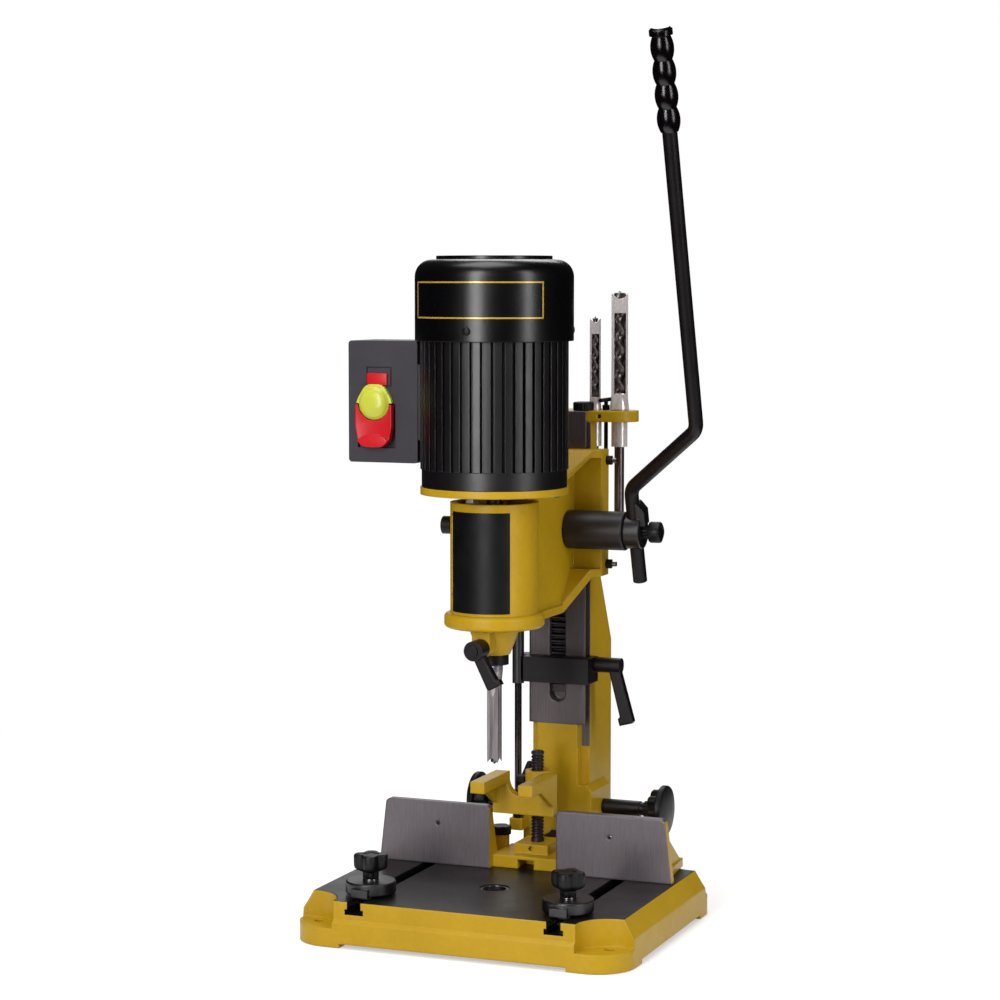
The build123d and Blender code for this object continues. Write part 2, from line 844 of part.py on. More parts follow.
def head_casting():
    # chuck housing, foot flange and chisel boss
    body = rod_z(housing_radius, head_bottom, housing_top, 0, spindle_y)
    flange = rod_z(head_flange_radius, head_bottom, housing_floor, 0, spindle_y)
    body += fillet(flange.edges().filter_by(GeomType.CIRCLE), 0.3 * head_flange_height)
    body += cone_z(boss_bottom_radius, boss_top_radius, boss_bottom, head_bottom + 1, 0, spindle_y)
    lug_front = clamp_hub_back() + slide_gap
    body += rod_y(clamp_lug_radius, lug_front, spindle_y, 0, chisel_clamp_z())
    body += box(-clamp_lug_radius, clamp_lug_radius, lug_front, spindle_y, chisel_clamp_z(), head_bottom + 1)
    # motor plate, the arm's web and the slide plate at the back
    body += rod_z(motor_radius, motor_plate_bottom, motor_plate_top, 0, spindle_y)
    front = spindle_y + housing_radius - 2 * housing_wall
    low_edge = [(front, head_bottom), (arm_low_back, head_bottom), (slide_front, slide_bottom),
                (slide_back, slide_bottom)]
    high_edge = [(front, motor_plate_top), (arm_low_back, motor_plate_top), (slide_front, slide_top),
                 (slide_back, slide_top)]
    web = web_width / 2
    body += prism_x(low_edge + high_edge[::-1], -web, web)
    body += box(-slide_half, slide_half, slide_back - slide_plate, slide_back, slide_bottom, slide_top)
    # flanges along the arm's lower and upper edges, flaring out to the slide plate
    plan = [(arm_half, front), (arm_half, arm_low_back), (slide_half, slide_back - slide_plate),
            (slide_half, slide_back)]
    flare = prism_z(plan + [(-x, y) for x, y in plan[::-1]], head_bottom - 1, slide_top + 1)
    for edge, inward in ((low_edge, 1), (high_edge, -1)):
        offset = [(y - 0.3 * arm_flange, z + inward * arm_flange) for y, z in edge[1:3]]
        inner = [(front, edge[0][1] + inward * arm_flange)] + offset
        inner.append((slide_back, edge[3][1] + inward * arm_flange))
        body += prism_x(edge + inner[::-1], -slide_half, slide_half) & flare
    # boss around the gas spring
    body += rod_z(gas_cylinder_radius + gas_boss_wall, slide_bottom, gas_top() + gas_boss_wall, gas_x,
                  gas_y)
    # chuck room, motor register, shaft and chisel bores
    body -= rod_z(housing_radius - housing_wall, housing_floor, motor_plate_top + 1, 0, spindle_y)
    body -= rod_z(chisel_shank_radius + seat_gap, boss_bottom - 1, housing_floor + 1, 0, spindle_y)
    # pocket under the arm
    pocket = web - arm_pocket_wall
    room = feed_pitch_radius + feed_module + pinion_room
    body -= box(-pocket, pocket, spindle_y + housing_radius + arm_pocket_wall,
                feed_y - room - arm_pocket_wall, head_bottom - 1, motor_plate_bottom - arm_pocket_wall)
    # pinion room, feed shaft bores and a round seat for the hub beside the arm
    body -= rod_x(hub_radius + hub_room, web, slide_half + 1, feed_y, feed_z)
    body -= rod_x(room, -pinion_width / 2 - 1, pinion_width / 2 + 1, feed_y, feed_z)
    body -= rod_x(feed_shaft_radius + run_gap, feed_shaft_start - slide_gap, web + 1, feed_y, feed_z)
    # dovetail way, widened on the right for the gib
    body -= dovetail(dovetail_front, slide_gap, slide_bottom - 1, slide_top + 1)
    body -= Pos(gib_shift(), 0, 0) * dovetail(dovetail_front, slide_gap, slide_bottom - 1, slide_top + 1)
    body -= box(-rack_width / 2, rack_width / 2, dovetail_front - 4 * slide_gap, slide_back + 1,
                slide_bottom - 1, slide_top + 1)
    # gas spring bore
    body -= rod_z(gas_cylinder_radius + seat_gap, slide_bottom - 1, gas_top() + seat_gap, gas_x, gas_y)
    # gib screw holes
    for z in gib_screw_places():
        body -= rod_x(gib_screw_radius + seat_gap, dovetail_neck_width / 2, slide_half + 1, gib_screw_y(),
                      z)
    # chisel clamp screw hole
    body -= rod_y(clamp_screw_radius + run_gap, lug_front - 1, spindle_y, 0, chisel_clamp_z())
    # motor bolt holes
    for x, y in motor_bolt_places():
        body -= rod_z(motor_bolt_radius + seat_gap, motor_plate_bottom - 1, motor_plate_top + 1, x, y)
    # window for the access door and lugs for its hinge pin
    body -= ring_sector(housing_radius - housing_wall - 1, housing_radius + 1, door_hinge_angle - 8,
                        door_front_angle, door_bottom, door_top)
    pin_x, pin_y = door_points(door_hinge_angle, door_hinge_radius)
    for z0 in (door_bottom - door_lug_height(), door_top):
        lug = rod_z(door_knuckle_radius, z0, z0 + door_lug_height(), pin_x, pin_y)
        near = door_points(door_hinge_angle - 6, housing_radius - 2)
        far = door_points(door_hinge_angle + 6, housing_radius - 2)
        lug += prism_z([near, far, (pin_x, pin_y)], z0, z0 + door_lug_height())
        body += lug - rod_z(door_pin_radius + seat_gap, z0 - 1, z0 + door_lug_height() + 1, pin_x, pin_y)
    return body


def door_lug_height():
    return 2 * door_knuckle_radius


def gib_shift():
    return gib_thickness / math.sin(math.atan2(dovetail_depth, (dovetail_width - dovetail_neck_width) / 2))


def gib_screw_y():
    return dovetail_front + dovetail_depth / 2


def gib_screw_places():
    return [slide_bottom + gib_screw_inset, slide_top - gib_screw_inset]


def gib_edge(y):
    """Half width of the column's dovetail at this y."""
    share = (y - dovetail_front) / dovetail_depth
    return (dovetail_width + share * (dovetail_neck_width - dovetail_width)) / 2


def gib_strip():
    front = dovetail_front + slide_gap
    back = slide_back - slide_gap
    inner = [(gib_edge(y) + slide_gap, y) for y in (front, back)]
    outer = [(gib_edge(y) + gib_shift(), y) for y in (back, front)]
    return prism_z(inner + outer, slide_bottom, slide_top)


def gib_screws():
    screws = []
    nut = 2 * gib_screw_radius
    for z in gib_screw_places():
        start = gib_edge(gib_screw_y() - gib_screw_radius) + gib_shift() + seat_gap
        screw = rod_x(gib_screw_radius, start, slide_half + 2 * nut, gib_screw_y(), z)
        side = Plane((slide_half + seat_gap, gib_screw_y(), z), (0, 1, 0), (1, 0, 0))
        screws.append(screw + extrude(side * RegularPolygon(nut, 6), nut))
    return screws


def chisel_clamp_z():
    return boss_bottom + 0.35 * (head_bottom - boss_bottom)


def clamp_hub_radius():
    return 2.75 * clamp_screw_radius


def clamp_hub_back():
    return spindle_y - boss_top_radius - clamp_hub_radius()


def chisel_clamp_lever():
    z = chisel_clamp_z()
    hub = clamp_hub_radius()
    tip = spindle_y - chisel_shank_radius - slide_gap
    hub_back = clamp_hub_back()
    lever = rod_y(clamp_screw_radius, hub_back - 1, tip, 0, z)
    lever += rod_y(hub, hub_back - 2 * hub, hub_back, 0, z)
    lever += rod_y(0.55 * hub, hub_back - 2.3 * hub, hub_back - 2 * hub, 0, z)
    place = Pos(0, hub_back - 1.1 * hub, z) * Rot(0, 180 - clamp_arm_slant, 0)
    return lever + place * clamp_arm(clamp_arm_root, clamp_arm_end, clamp_arm_thick, clamp_arm_reach)


def chisel_collar():
    top = boss_bottom
    ring = rod_z(collar_radius, top - collar_height, top, 0, spindle_y)
    return ring - rod_z(chisel_shank_radius + seat_gap, top - collar_height - 1, top + 1, 0, spindle_y)


def access_door():
    gap = door_edge_gap
    panel = ring_sector(housing_radius - 0.6 * housing_wall, housing_radius, door_back_angle,
                        door_front_angle - gap, door_bottom + gap, door_top - gap)
    pin_x, pin_y = door_points(door_hinge_angle, door_hinge_radius)
    inner = housing_radius - 0.6 * housing_wall
    leaf = [door_points(door_back_angle, inner), door_points(door_back_angle + 6, inner),
            door_points(door_back_angle + 6, housing_radius), (pin_x - 1, pin_y - 1),
            (pin_x + 1, pin_y + 1)]
    barrel_low = door_bottom + slide_gap
    barrel_high = door_top - slide_gap
    panel += prism_z(leaf, door_bottom + gap, door_top - gap)
    panel += rod_z(door_knuckle_radius, barrel_low, barrel_high, pin_x, pin_y)
    panel -= rod_z(door_pin_radius + run_gap, door_bottom - 1, door_top + 1, pin_x, pin_y)
    panel -= rod_x(door_knob_stem() + seat_gap, -2 * housing_radius, 0, spindle_y, door_knob_z)
    return panel


def door_knob_stem():
    return 0.4 * door_knob_radius


def door_knob():
    start = -housing_radius
    knob = rod_x(door_knob_radius, start - door_knob_length, start - 1, spindle_y, door_knob_z)
    knob += rod_x(door_knob_stem(), start - 2, start + 0.6 * housing_wall, spindle_y, door_knob_z)
    return knob


def door_hinge_pin():
    pin_x, pin_y = door_points(door_hinge_angle, door_hinge_radius)
    lug = door_lug_height()
    return rod_z(door_pin_radius, door_bottom - lug, door_top + lug + 1, pin_x, pin_y)


def motor_bolt_places():
    return [(x, spindle_y + y) for x, y in (at_angle(motor_bolt_circle, angle) for angle in (30, 150, 270))]


def motor_bolts():
    bolts = []
    head = 1.3 * motor_bolt_radius
    for x, y in motor_bolt_places():
        bolt = rod_z(motor_bolt_radius, motor_plate_bottom - 1, shield_top - 1, x, y)
        hexagon = Pos(x, y, motor_plate_bottom - head) * RegularPolygon(1.9 * motor_bolt_radius, 6)
        bolts.append(bolt + extrude(hexagon, head))
    return bolts


def motor_end_shield():
    shield = rod_z(shield_radius, motor_plate_top, shield_top, 0, spindle_y)
    shield += rod_z(bearing_radius + housing_wall, shield_top - 1, shield_top + bearing_height, 0,
                    spindle_y)
    shield -= rod_z(bearing_radius + seat_gap, shield_top, shield_top + bearing_height + 1, 0, spindle_y)
    shield -= rod_z(spindle_radius + 2, motor_plate_top - 1, shield_top + 1, 0, spindle_y)
    for x, y in motor_bolt_places():
        shield -= rod_z(motor_bolt_radius + seat_gap, motor_plate_top - 1, shield_top - 1 + seat_gap, x, y)
    return shield


def upper_bearing_z():
    return motor_body_top - bearing_height


def motor_housing():
    ring = Circle(motor_radius)
    groove = Rectangle(2 * fin_depth, fin_gap)
    for fin in range(fin_count):
        angle = 360 / fin_count * (fin + 0.5)
        ring -= Rot(0, 0, angle) * Pos(motor_radius, 0) * groove
    body = Pos(0, spindle_y, 0) * extrude(Pos(0, 0, shield_top) * ring, fan_cover_bottom - shield_top)
    body += rod_z(motor_radius - fin_depth, fan_cover_bottom - 1, motor_body_top, 0, spindle_y)
    # flat pad on the left for the switch box
    pad_y = spindle_y
    pad_z = switch_bottom + switch_height / 2
    pad_end = switch_left + switch_width
    body += box(pad_end, -motor_radius / 2, pad_y - switch_pad_depth / 2, pad_y + switch_pad_depth / 2,
                pad_z - switch_pad_height / 2, pad_z + switch_pad_height / 2)
    body -= rod_z(motor_inner_radius, shield_top - 1, motor_body_top - motor_roof, 0, spindle_y)
    body -= rod_z(bearing_radius + seat_gap, upper_bearing_z(), motor_body_top + 1, 0, spindle_y)
    body -= rod_z(spindle_radius + 2, motor_body_top - motor_roof - 1, motor_body_top + 1, 0, spindle_y)
    for x, y in fan_screw_places():
        body -= rod_at(x, y, fan_screw_radius + seat_gap, fan_screw_depth() + 1)
    return body


def fan_screw_depth():
    return 2 * fin_depth


def fan_screw_z():
    return (fan_cover_bottom + motor_body_top) / 2 + fan_screw_radius


def fan_screw_places():
    return [at_angle(1, angle) for angle in (32, 152, 272)]


def rod_at(x, y, radius, depth):
    """Radial screw hole through the skirt of the fan cover, towards the spindle."""
    angle = math.degrees(math.atan2(y, x))
    length = depth + 2 * fan_cover_wall
    spot = Pos(0, spindle_y, fan_screw_z()) * Rot(0, 0, angle) * Pos(fan_cover_radius - length / 2, 0, 0)
    return spot * Rot(0, 90, 0) * Cylinder(radius, length)


def fan_cover():
    outer = rod_z(fan_cover_radius, fan_cover_bottom, motor_top - fan_crown, 0, spindle_y)
    outer = fillet(outer.edges().filter_by(GeomType.CIRCLE).sort_by(Axis.Z)[-1], fan_cover_round)
    crown = fan_crown_radius
    outer += rod_z(crown, motor_top - 2 * fan_crown, motor_top, 0, spindle_y)
    inner_radius = fan_cover_radius - fan_cover_wall
    inner = rod_z(inner_radius, fan_cover_bottom - 1, motor_top - fan_crown - fan_cover_wall, 0,
                  spindle_y)
    inner = fillet(inner.edges().filter_by(GeomType.CIRCLE).sort_by(Axis.Z)[-1],
                   fan_cover_round - fan_cover_wall)
    shell = outer - inner
    # inward rim that grips the motor body
    rim = rod_z(inner_radius + 1, fan_cover_bottom, motor_body_top + 2, 0, spindle_y)
    shell += rim - rod_z(motor_radius - fin_depth + seat_gap, fan_cover_bottom - 1, motor_body_top + 3, 0,
                         spindle_y)
    for slot in range(grille_slots):
        place = Pos(0, spindle_y, motor_top) * Rot(0, 0, 360 / grille_slots * slot)
        shell -= place * Pos(0.62 * crown, 0, 0) * Box(0.5 * crown, grille_slot_width, fan_cover_radius / 2)
    for x, y in fan_screw_places():
        shell -= rod_at(x, y, fan_screw_radius + seat_gap, fan_screw_depth())
    return shell


def fan_cover_screws():
    screws = []
    for x, y in fan_screw_places():
        angle = math.degrees(math.atan2(y, x))
        place = Pos(0, spindle_y, fan_screw_z()) * Rot(0, 0, angle)
        shank = place * Pos(fan_cover_radius - fan_screw_depth() / 2, 0, 0) * Rot(0, 90, 0)
        head = place * Pos(fan_cover_radius + fan_screw_head / 2, 0, 0) * Rot(0, 90, 0)
        screw = shank * Cylinder(fan_screw_radius, fan_screw_depth())
        screws.append(screw + head * Cylinder(1.9 * fan_screw_radius, fan_screw_head))
    return screws


def stator_bottom():
    return (shield_top + motor_body_top - motor_roof) / 2 - stator_length / 2 + 4


def motor_stator():
    z0 = stator_bottom()
    core = rod_z(motor_inner_radius - seat_gap, z0, z0 + stator_length, 0, spindle_y)
    return core - rod_z(stator_inner_radius, z0 - 1, z0 + stator_length + 1, 0, spindle_y)


def motor_bearings():
    bearings = []
    for z in (shield_top, upper_bearing_z()):
        ring = rod_z(bearing_radius, z, z + bearing_height, 0, spindle_y)
        bearings.append(ring - rod_z(spindle_radius + run_gap, z - 1, z + bearing_height + 1, 0, spindle_y))
    return bearings


def fan_bottom():
    return motor_body_top + fan_lift


def rotor_shaft():
    z0 = stator_bottom()
    shaft = rod_z(spindle_radius, chuck_top - spindle_grip, fan_bottom() + fan_height, 0, spindle_y)
    return shaft + rod_z(stator_inner_radius - rotor_air_gap, z0, z0 + stator_length, 0, spindle_y)


def cooling_fan():
    z0 = fan_bottom()
    hub = rod_z(2.4 * spindle_radius, z0, z0 + fan_height, 0, spindle_y)
    hub += rod_z(fan_radius, z0, z0 + fan_plate, 0, spindle_y)
    hub_radius_in = 2 * spindle_radius
    for blade in range(fan_blades):
        place = Pos(0, spindle_y, z0 + fan_height / 2) * Rot(0, 0, 360 / fan_blades * blade)
        place *= Pos((fan_radius + hub_radius_in) / 2 - 1, 0, 0)
        hub += place * Box(fan_radius - hub_radius_in, fan_blade, fan_height)
    return hub - rod_z(spindle_radius + seat_gap, z0 - 1, z0 + fan_height + 1, 0, spindle_y)


def drill_chuck():
    body = rod_z(chuck_radius, chuck_bottom + chuck_taper, chuck_top, 0, spindle_y)
    body += cone_z(0.55 * chuck_radius, chuck_radius, chuck_bottom, chuck_bottom + chuck_taper, 0,
                   spindle_y)
    body -= rod_z(bit_shank_radius + seat_gap, chuck_bottom - 1, chuck_bottom + chuck_grip() + seat_gap, 0,
                  spindle_y)
    return body - rod_z(spindle_radius + seat_gap, chuck_top - spindle_grip - seat_gap, chuck_top + 1, 0,
                        spindle_y)


def feed_pinion():
    outline = gear_outline(feed_module, feed_teeth, tooth_play, 0, feed_y, feed_z)
    gear = prism_x(outline, -pinion_width / 2, pinion_width / 2)
    return gear - rod_x(feed_shaft_radius + seat_gap, -pinion_width, pinion_width, feed_y, feed_z)


def feed_shaft():
    return rod_x(feed_shaft_radius, feed_shaft_start, hub_end - index_stub_length, feed_y, feed_z)


def knob_start():
    return block_end + index_neck_length


def feed_hub():
    hub = rod_x(hub_radius, hub_start, hub_end, feed_y, feed_z)
    hub = fillet(hub.edges().filter_by(GeomType.CIRCLE), hub_round)
    return hub - rod_x(feed_shaft_radius + seat_gap, hub_start - 1, hub_end + 1, feed_y, feed_z)


def along_lever(distance):
    """Point on the lever's straight inner line, from the feed axis."""
    return Vector(lever_x, feed_y + distance * lever_dir[1], feed_z + distance * lever_dir[2])


def along_outer(distance):
    """Point on the lever's straight outer line."""
    return Vector(lever_out_x, lever_out_y + distance * lever_dir[1], feed_z + distance * lever_dir[2])


def feed_lever():
    end = lever_grip_start + 0.8 * lever_grip_length
    points = [along_lever(-lever_tail), along_lever(lever_first_bend), along_outer(lever_second_bend),
              along_outer(end)]
    path = FilletPolyline(*points, radius=lever_bend_radius)
    start = Plane(origin=points[0], z_dir=lever_dir)
    bar = sweep(start * Circle(lever_radius), path=path)
    return bar


def index_block():
    block = rod_x(index_block_radius, block_start, block_end, feed_y, feed_z)
    block = fillet(block.edges().filter_by(GeomType.CIRCLE), hub_round)
    tilt = Pos(lever_x, feed_y, feed_z) * Rot(lever_lean, 0, 0)
    # ear that stands beside the lever
    half = index_block_length / 2
    low = index_neck_radius + 2
    ear = [(half / 2, 0), (half / 2, index_ear_height), (half - 2, index_ear_height),
           (half + index_ear_reach, index_ear_height - 10), (half + index_ear_reach, low), (half - 2, low)]
    block += tilt * prism_y(ear, -index_ear_width / 2, index_ear_width / 2)
    # stub that turns in the hub, and the stud that the pull knob slides on
    stub = feed_shaft_radius + seat_gap - run_gap
    block += rod_x(stub, hub_end - index_stub_length + slide_gap, block_start + 1, feed_y, feed_z)
    block += rod_x(index_stud_radius, block_end - 1, knob_start() + 0.5 * index_knob_length, feed_y, feed_z)
    return block - tilt * Cylinder(lever_radius + seat_gap, 4 * index_ear_height)


def index_knob():
    head = knob_start()
    knob = rod_x(index_neck_radius, block_end + slide_gap, head + 1, feed_y, feed_z)
    knob += rod_x(index_knob_radius, head, head + index_knob_length, feed_y, feed_z)
    for flat in range(4):
        place = Pos(head + index_knob_length / 2, feed_y, feed_z) * Rot(90 * flat + 45, 0, 0)
        place *= Pos(0, 0, 1.22 * index_knob_radius) * Rot(0, 90, 0)
        knob -= place * Cylinder(0.4 * index_knob_radius, 2 * index_knob_length)
    deep = 0.7 * index_knob_length
    return knob - rod_x(index_stud_radius + run_gap, block_end - 1, head + deep, feed_y, feed_z)


def lever_grip():
    # bulges as arcs along the grip, turned about its axis
    step = (lever_grip_length - grip_waist) / grip_bulges
    line = []
    for bulge in range(grip_bulges):
        low = bulge * step
        line.append(ThreePointArc((grip_waist, low), (grip_radius, low + step / 2),
                                  (grip_waist, low + step)))
    top = grip_bulges * step
    cap = lever_grip_length
    outline = Polyline((grip_waist, top), (grip_radius, top + 1), (grip_radius, cap - 3),
                       (grip_radius - 3, cap), (0, cap), (0, 0), (grip_waist, 0))
    face = make_face(Curve() + line + outline)
    grip = revolve(Plane.XZ * face, Axis.Z)
    grip -= Pos(0, 0, 0.4 * lever_grip_length - 1) * Cylinder(lever_radius + seat_gap,
                                                              0.8 * lever_grip_length + 2)
    return Plane(origin=along_outer(lever_grip_start), x_dir=(1, 0, 0), z_dir=lever_dir).location * grip


def depth_stop_block():
    half = stop_width / 2
    top = stop_bottom + stop_height
    back = neck_y - slide_gap
    gas_room = gas_cylinder_radius + 1.5
    block = box(gas_x + gas_room, half, stop_front, back, stop_bottom, top)
    block += box(-half, half, gas_y + gas_room, back, stop_bottom, top)
    block -= dovetail(dovetail_front, slide_gap, stop_bottom - 1, top + 1)
    block -= box(-dovetail_neck_width / 2 - slide_gap, dovetail_neck_width / 2 + slide_gap, neck_y - 1,
                 back + 1, stop_bottom - 1, top + 1)
    return block - rod_x(clamp_screw_radius + run_gap, gib_edge(stop_screw_y()), half + 1, stop_screw_y(),
                         stop_lever_z)


def stop_screw_y():
    return dovetail_front + 0.4 * dovetail_depth


def depth_stop_lever():
    half = stop_width / 2
    tip = gib_edge(stop_screw_y() - clamp_screw_radius) + slide_gap
    lever = rod_x(clamp_screw_radius, tip, half + 2, stop_screw_y(), stop_lever_z)
    hub_at = half + slide_gap
    lever += rod_x(stop_hub_radius, hub_at, hub_at + stop_hub_length, stop_screw_y(), stop_lever_z)
    outer = hub_at + stop_hub_length - stop_hub_radius
    place = Pos(outer, stop_screw_y(), stop_lever_z) * Rot(0, 180 - stop_lever_slant, 0)
    place *= Rot(0, 0, 180)
    return lever + place * clamp_arm(stop_lever_root, stop_lever_end, stop_lever_thick, stop_lever_reach)


def fence():
    top = table_top + fence_height
    plate_back = fence_front + fence_plate
    body = None
    for side in (-1, 1):
        face = prism_y([(side * fence_inner, fence_bottom), (side * fence_outer_bottom, fence_bottom),
                        (side * fence_outer_top, top), (side * fence_inner, top)], fence_front, plate_back)
        face = fillet(face.edges().filter_by(Axis.Y).sort_by(Axis.Z)[-2:], fence_corner)
        hole_z = top - fence_hole_drop
        face -= rod_y(fence_hole_radius, fence_front - 1, plate_back + 1, side * fence_hole_x, hole_z)
        body = face if body is None else body + face
        outer = fence_outer_top - fence_rib
        foot_top = fence_bottom + fence_foot_height
        foot = [(side * fence_inner, plate_back - 1), (side * fence_outer_top, plate_back - 1),
                (side * outer, fence_back), (side * (outer - 2 * fence_rib), fence_back),
                (side * (outer - 4 * fence_rib), plate_back + 2 * fence_plate),
                (side * fence_inner, fence_block_back)]
        body += prism_z(foot, fence_bottom, foot_top)
        slope = [(plate_back - 1, foot_top - 1), (plate_back - 1, top - fence_rib),
                 (fence_back - fence_rib, foot_top - 1)]
        low, high = sorted((side * outer, side * (outer - fence_rib)))
        body += prism_x(slope, low, high)
        low, high = sorted((side * fence_inner, side * (fence_inner + fence_rib)))
        body += prism_x(slope[:2] + [(fence_block_front, foot_top - 1)], low, high)
    # bridge between the halves, with the block that carries the hold-down post
    body += box(-fence_inner - 1, fence_inner + 1, plate_back, fence_block_back, fence_bottom,
                fence_bottom + bridge_height)
    block = fence_block_width / 2
    block_top = table_top + fence_block_height
    body += box(-block, block, fence_block_front, fence_block_back, fence_bottom, block_top)
    notch = fence_notch_width / 2
    body -= box(-notch, notch, plate_back - 1, fence_block_front + fence_plate, fence_bottom - 1,
                fence_bottom + fence_notch_height)
    body -= rod_y(block_screw_radius, fence_block_front - 1, fence_block_front + block_screw_depth, 0,
                  block_top - block_screw_drop)
    # seats of the post and the rack bar
    body -= rod_z(post_radius + seat_gap, fence_bottom + post_seat_floor, block_top + 1, 0, post_y)
    width = fence_rack_width / 2 + seat_gap
    low, high = fence_rack_span()
    body -= box(-width, width, fence_block_back - fence_rack_seat(), fence_block_back + 1, low - seat_gap,
                high + seat_gap)
    # lock screw boss
    boss_top = lock_boss_top()
    boss = rod_z(2.4 * clamp_screw_radius, fence_bottom, boss_top, fence_lock_x, fence_lock_y)
    body += boss
    return body - rod_z(clamp_screw_radius + run_gap, fence_bottom - 1, boss_top + 1, fence_lock_x,
                        fence_lock_y)


def lock_boss_top():
    return fence_bottom + fence_foot_height + lock_boss_height


def fence_rack_seat():
    return fence_block_back - post_y - post_radius - 4


def fence_rack_span():
    high = fence_rack_pitch_z - 1.25 * fence_module
    return high - fence_rack_height, high


def fence_rack():
    low, high = fence_rack_span()
    front = fence_block_back - fence_rack_seat() + seat_gap
    teeth = rack_teeth(fence_module, fence_shaft_y, fence_block_back + 8, fence_rack_back - 2)
    points = [(front, low), (front, high)]
    points += [(along, fence_rack_pitch_z + height) for along, height in teeth]
    points += [(fence_rack_back, high), (fence_rack_back, low)]
    half = fence_rack_width / 2
    return prism_x(points, -half, half)


def fence_shaft():
    outline = gear_outline(fence_module, fence_teeth, tooth_play, -90, fence_shaft_y, fence_shaft_z)
    shaft = prism_x(outline, -fence_pinion_width / 2, fence_pinion_width / 2)
    end = fence_knob_x + fence_knob_thickness / 2 - 3
    shaft += rod_x(fence_shaft_radius, -end, end, fence_shaft_y, fence_shaft_z)
    start = column_foot_width / 2 + slide_gap
    for low, high in ((start, fence_sleeve_end), (-fence_sleeve_end, -start)):
        shaft += rod_x(fence_sleeve_radius, low, high, fence_shaft_y, fence_shaft_z)
    return shaft


def fence_knobs():
    knobs = []
    for side in (-1, 1):
        low = side * fence_knob_x - fence_knob_thickness / 2
        high = low + fence_knob_thickness
        knob = rod_x(fence_knob_radius, low, high, fence_shaft_y, fence_shaft_z)
        knob = fillet(knob.edges().filter_by(GeomType.CIRCLE), fence_knob_round)
        stem_in = side * (fence_knob_x - fence_knob_thickness / 2 - fence_knob_neck)
        low, high = sorted((stem_in, side * fence_knob_x))
        knob += rod_x(fence_sleeve_radius + 3, low, high, fence_shaft_y, fence_shaft_z)
        for flute in range(fence_knob_flutes):
            y, z = at_angle(fence_knob_radius + 1.5, 360 / fence_knob_flutes * flute)
            middle = side * fence_knob_x
            knob -= rod_x(fence_flute_radius, middle - fence_knob_thickness, middle + fence_knob_thickness,
                          fence_shaft_y + y, fence_shaft_z + z)
        low, high = sorted((0, side * (fence_knob_x + fence_knob_thickness / 2 - 3)))
        knobs.append(knob - rod_x(fence_shaft_radius + seat_gap, low, high, fence_shaft_y, fence_shaft_z))
    return knobs


def fence_lock_knob():
    top = lock_boss_top()
    screw = rod_z(clamp_screw_radius, fence_bottom, top + 4, fence_lock_x, fence_lock_y)
    head = lobed(2.9 * clamp_screw_radius, 3, lock_knob_dip, top + slide_gap, top + lock_knob_height,
                 fence_lock_x, fence_lock_y)
    return screw + head


def hold_down_post():
    base = fence_bottom + post_seat_floor
    start = table_top + fence_block_height + post_thread_pitch
    points = [(0, base), (post_radius, base), (post_radius, start)]
    turns = int((post_top - 2 - start) / post_thread_pitch)
    for turn in range(turns):
        z = start + turn * post_thread_pitch
        points.append((post_radius - post_thread_depth, z + 0.3 * post_thread_pitch))
        points.append((post_radius - post_thread_depth, z + 0.5 * post_thread_pitch))
        points.append((post_radius, z + 0.8 * post_thread_pitch))
        points.append((post_radius, z + post_thread_pitch))
    points += [(post_radius, post_top - 1.5), (post_radius - 1.5, post_top), (0, post_top)]
    return turned(points, 0, post_y)


def hold_down_fork():
    half = fork_width / 2
    web_back = fork_web_front + fork_web
    prong_bottom = fork_top - fork_prong_height
    body = box(-half, half, fork_web_front, web_back, fork_bottom, fork_top)
    inner = fork_gap / 2
    body -= box(-inner, inner, fork_web_front - 1, web_back + 1, fork_notch_bottom + inner, fork_top + 1)
    body -= rod_y(inner, fork_web_front - 1, web_back + 1, 0, fork_notch_bottom + inner)
    for side in (-1, 1):
        low, high = sorted((side * inner, side * half))
        body += box(low, high, fork_tip, fork_web_front + 1, prong_bottom, fork_top)
        gusset = [(fork_web_front + 1, fork_bottom + fork_web), (fork_web_front + 1, prong_bottom + 1),
                  (fork_tip + 2 * fork_prong_height, prong_bottom + 1)]
        low, high = sorted((side * (half - 0.3 * (half - inner)), side * half))
        body += prism_x(gusset, low, high)
    # arm back to the sleeve on the post
    low = fork_sleeve_bottom
    high = fork_notch_bottom + 3
    body += box(-0.7 * fork_sleeve_radius, 0.7 * fork_sleeve_radius, web_back - 1, post_y, low, high)
    sleeve_top = fork_top - 4
    body += rod_z(fork_sleeve_radius, low, sleeve_top, 0, post_y)
    body -= rod_z(post_radius + run_gap, low - 1, sleeve_top + 1, 0, post_y)
    screw = clamp_screw_radius + run_gap
    return body - rod_x(screw, -fork_sleeve_radius - 1, -post_radius + 1, post_y, fork_lever_z)


def hold_down_lever():
    tip = post_radius + 4 * slide_gap
    hub = 2 * clamp_screw_radius
    hub_at = fork_sleeve_radius + slide_gap
    lever = rod_x(clamp_screw_radius, -hub_at - 1, -tip, post_y, fork_lever_z)
    lever += rod_x(hub, -hub_at - 1.2 * hub, -hub_at, post_y, fork_lever_z)
    reach = 4 * hub
    place = Pos(-hub_at - 0.6 * hub, post_y, fork_lever_z) * Rot(-60, 0, 0)
    return lever + place * Pos(0, 0, reach / 2) * Cone(0.45 * hub, 0.6 * hub, reach)


def clamp_disc_bottom():
    return table_top + clamp_disc_lift


def clamp_disc_top():
    return clamp_disc_bottom() + clamp_disc_height


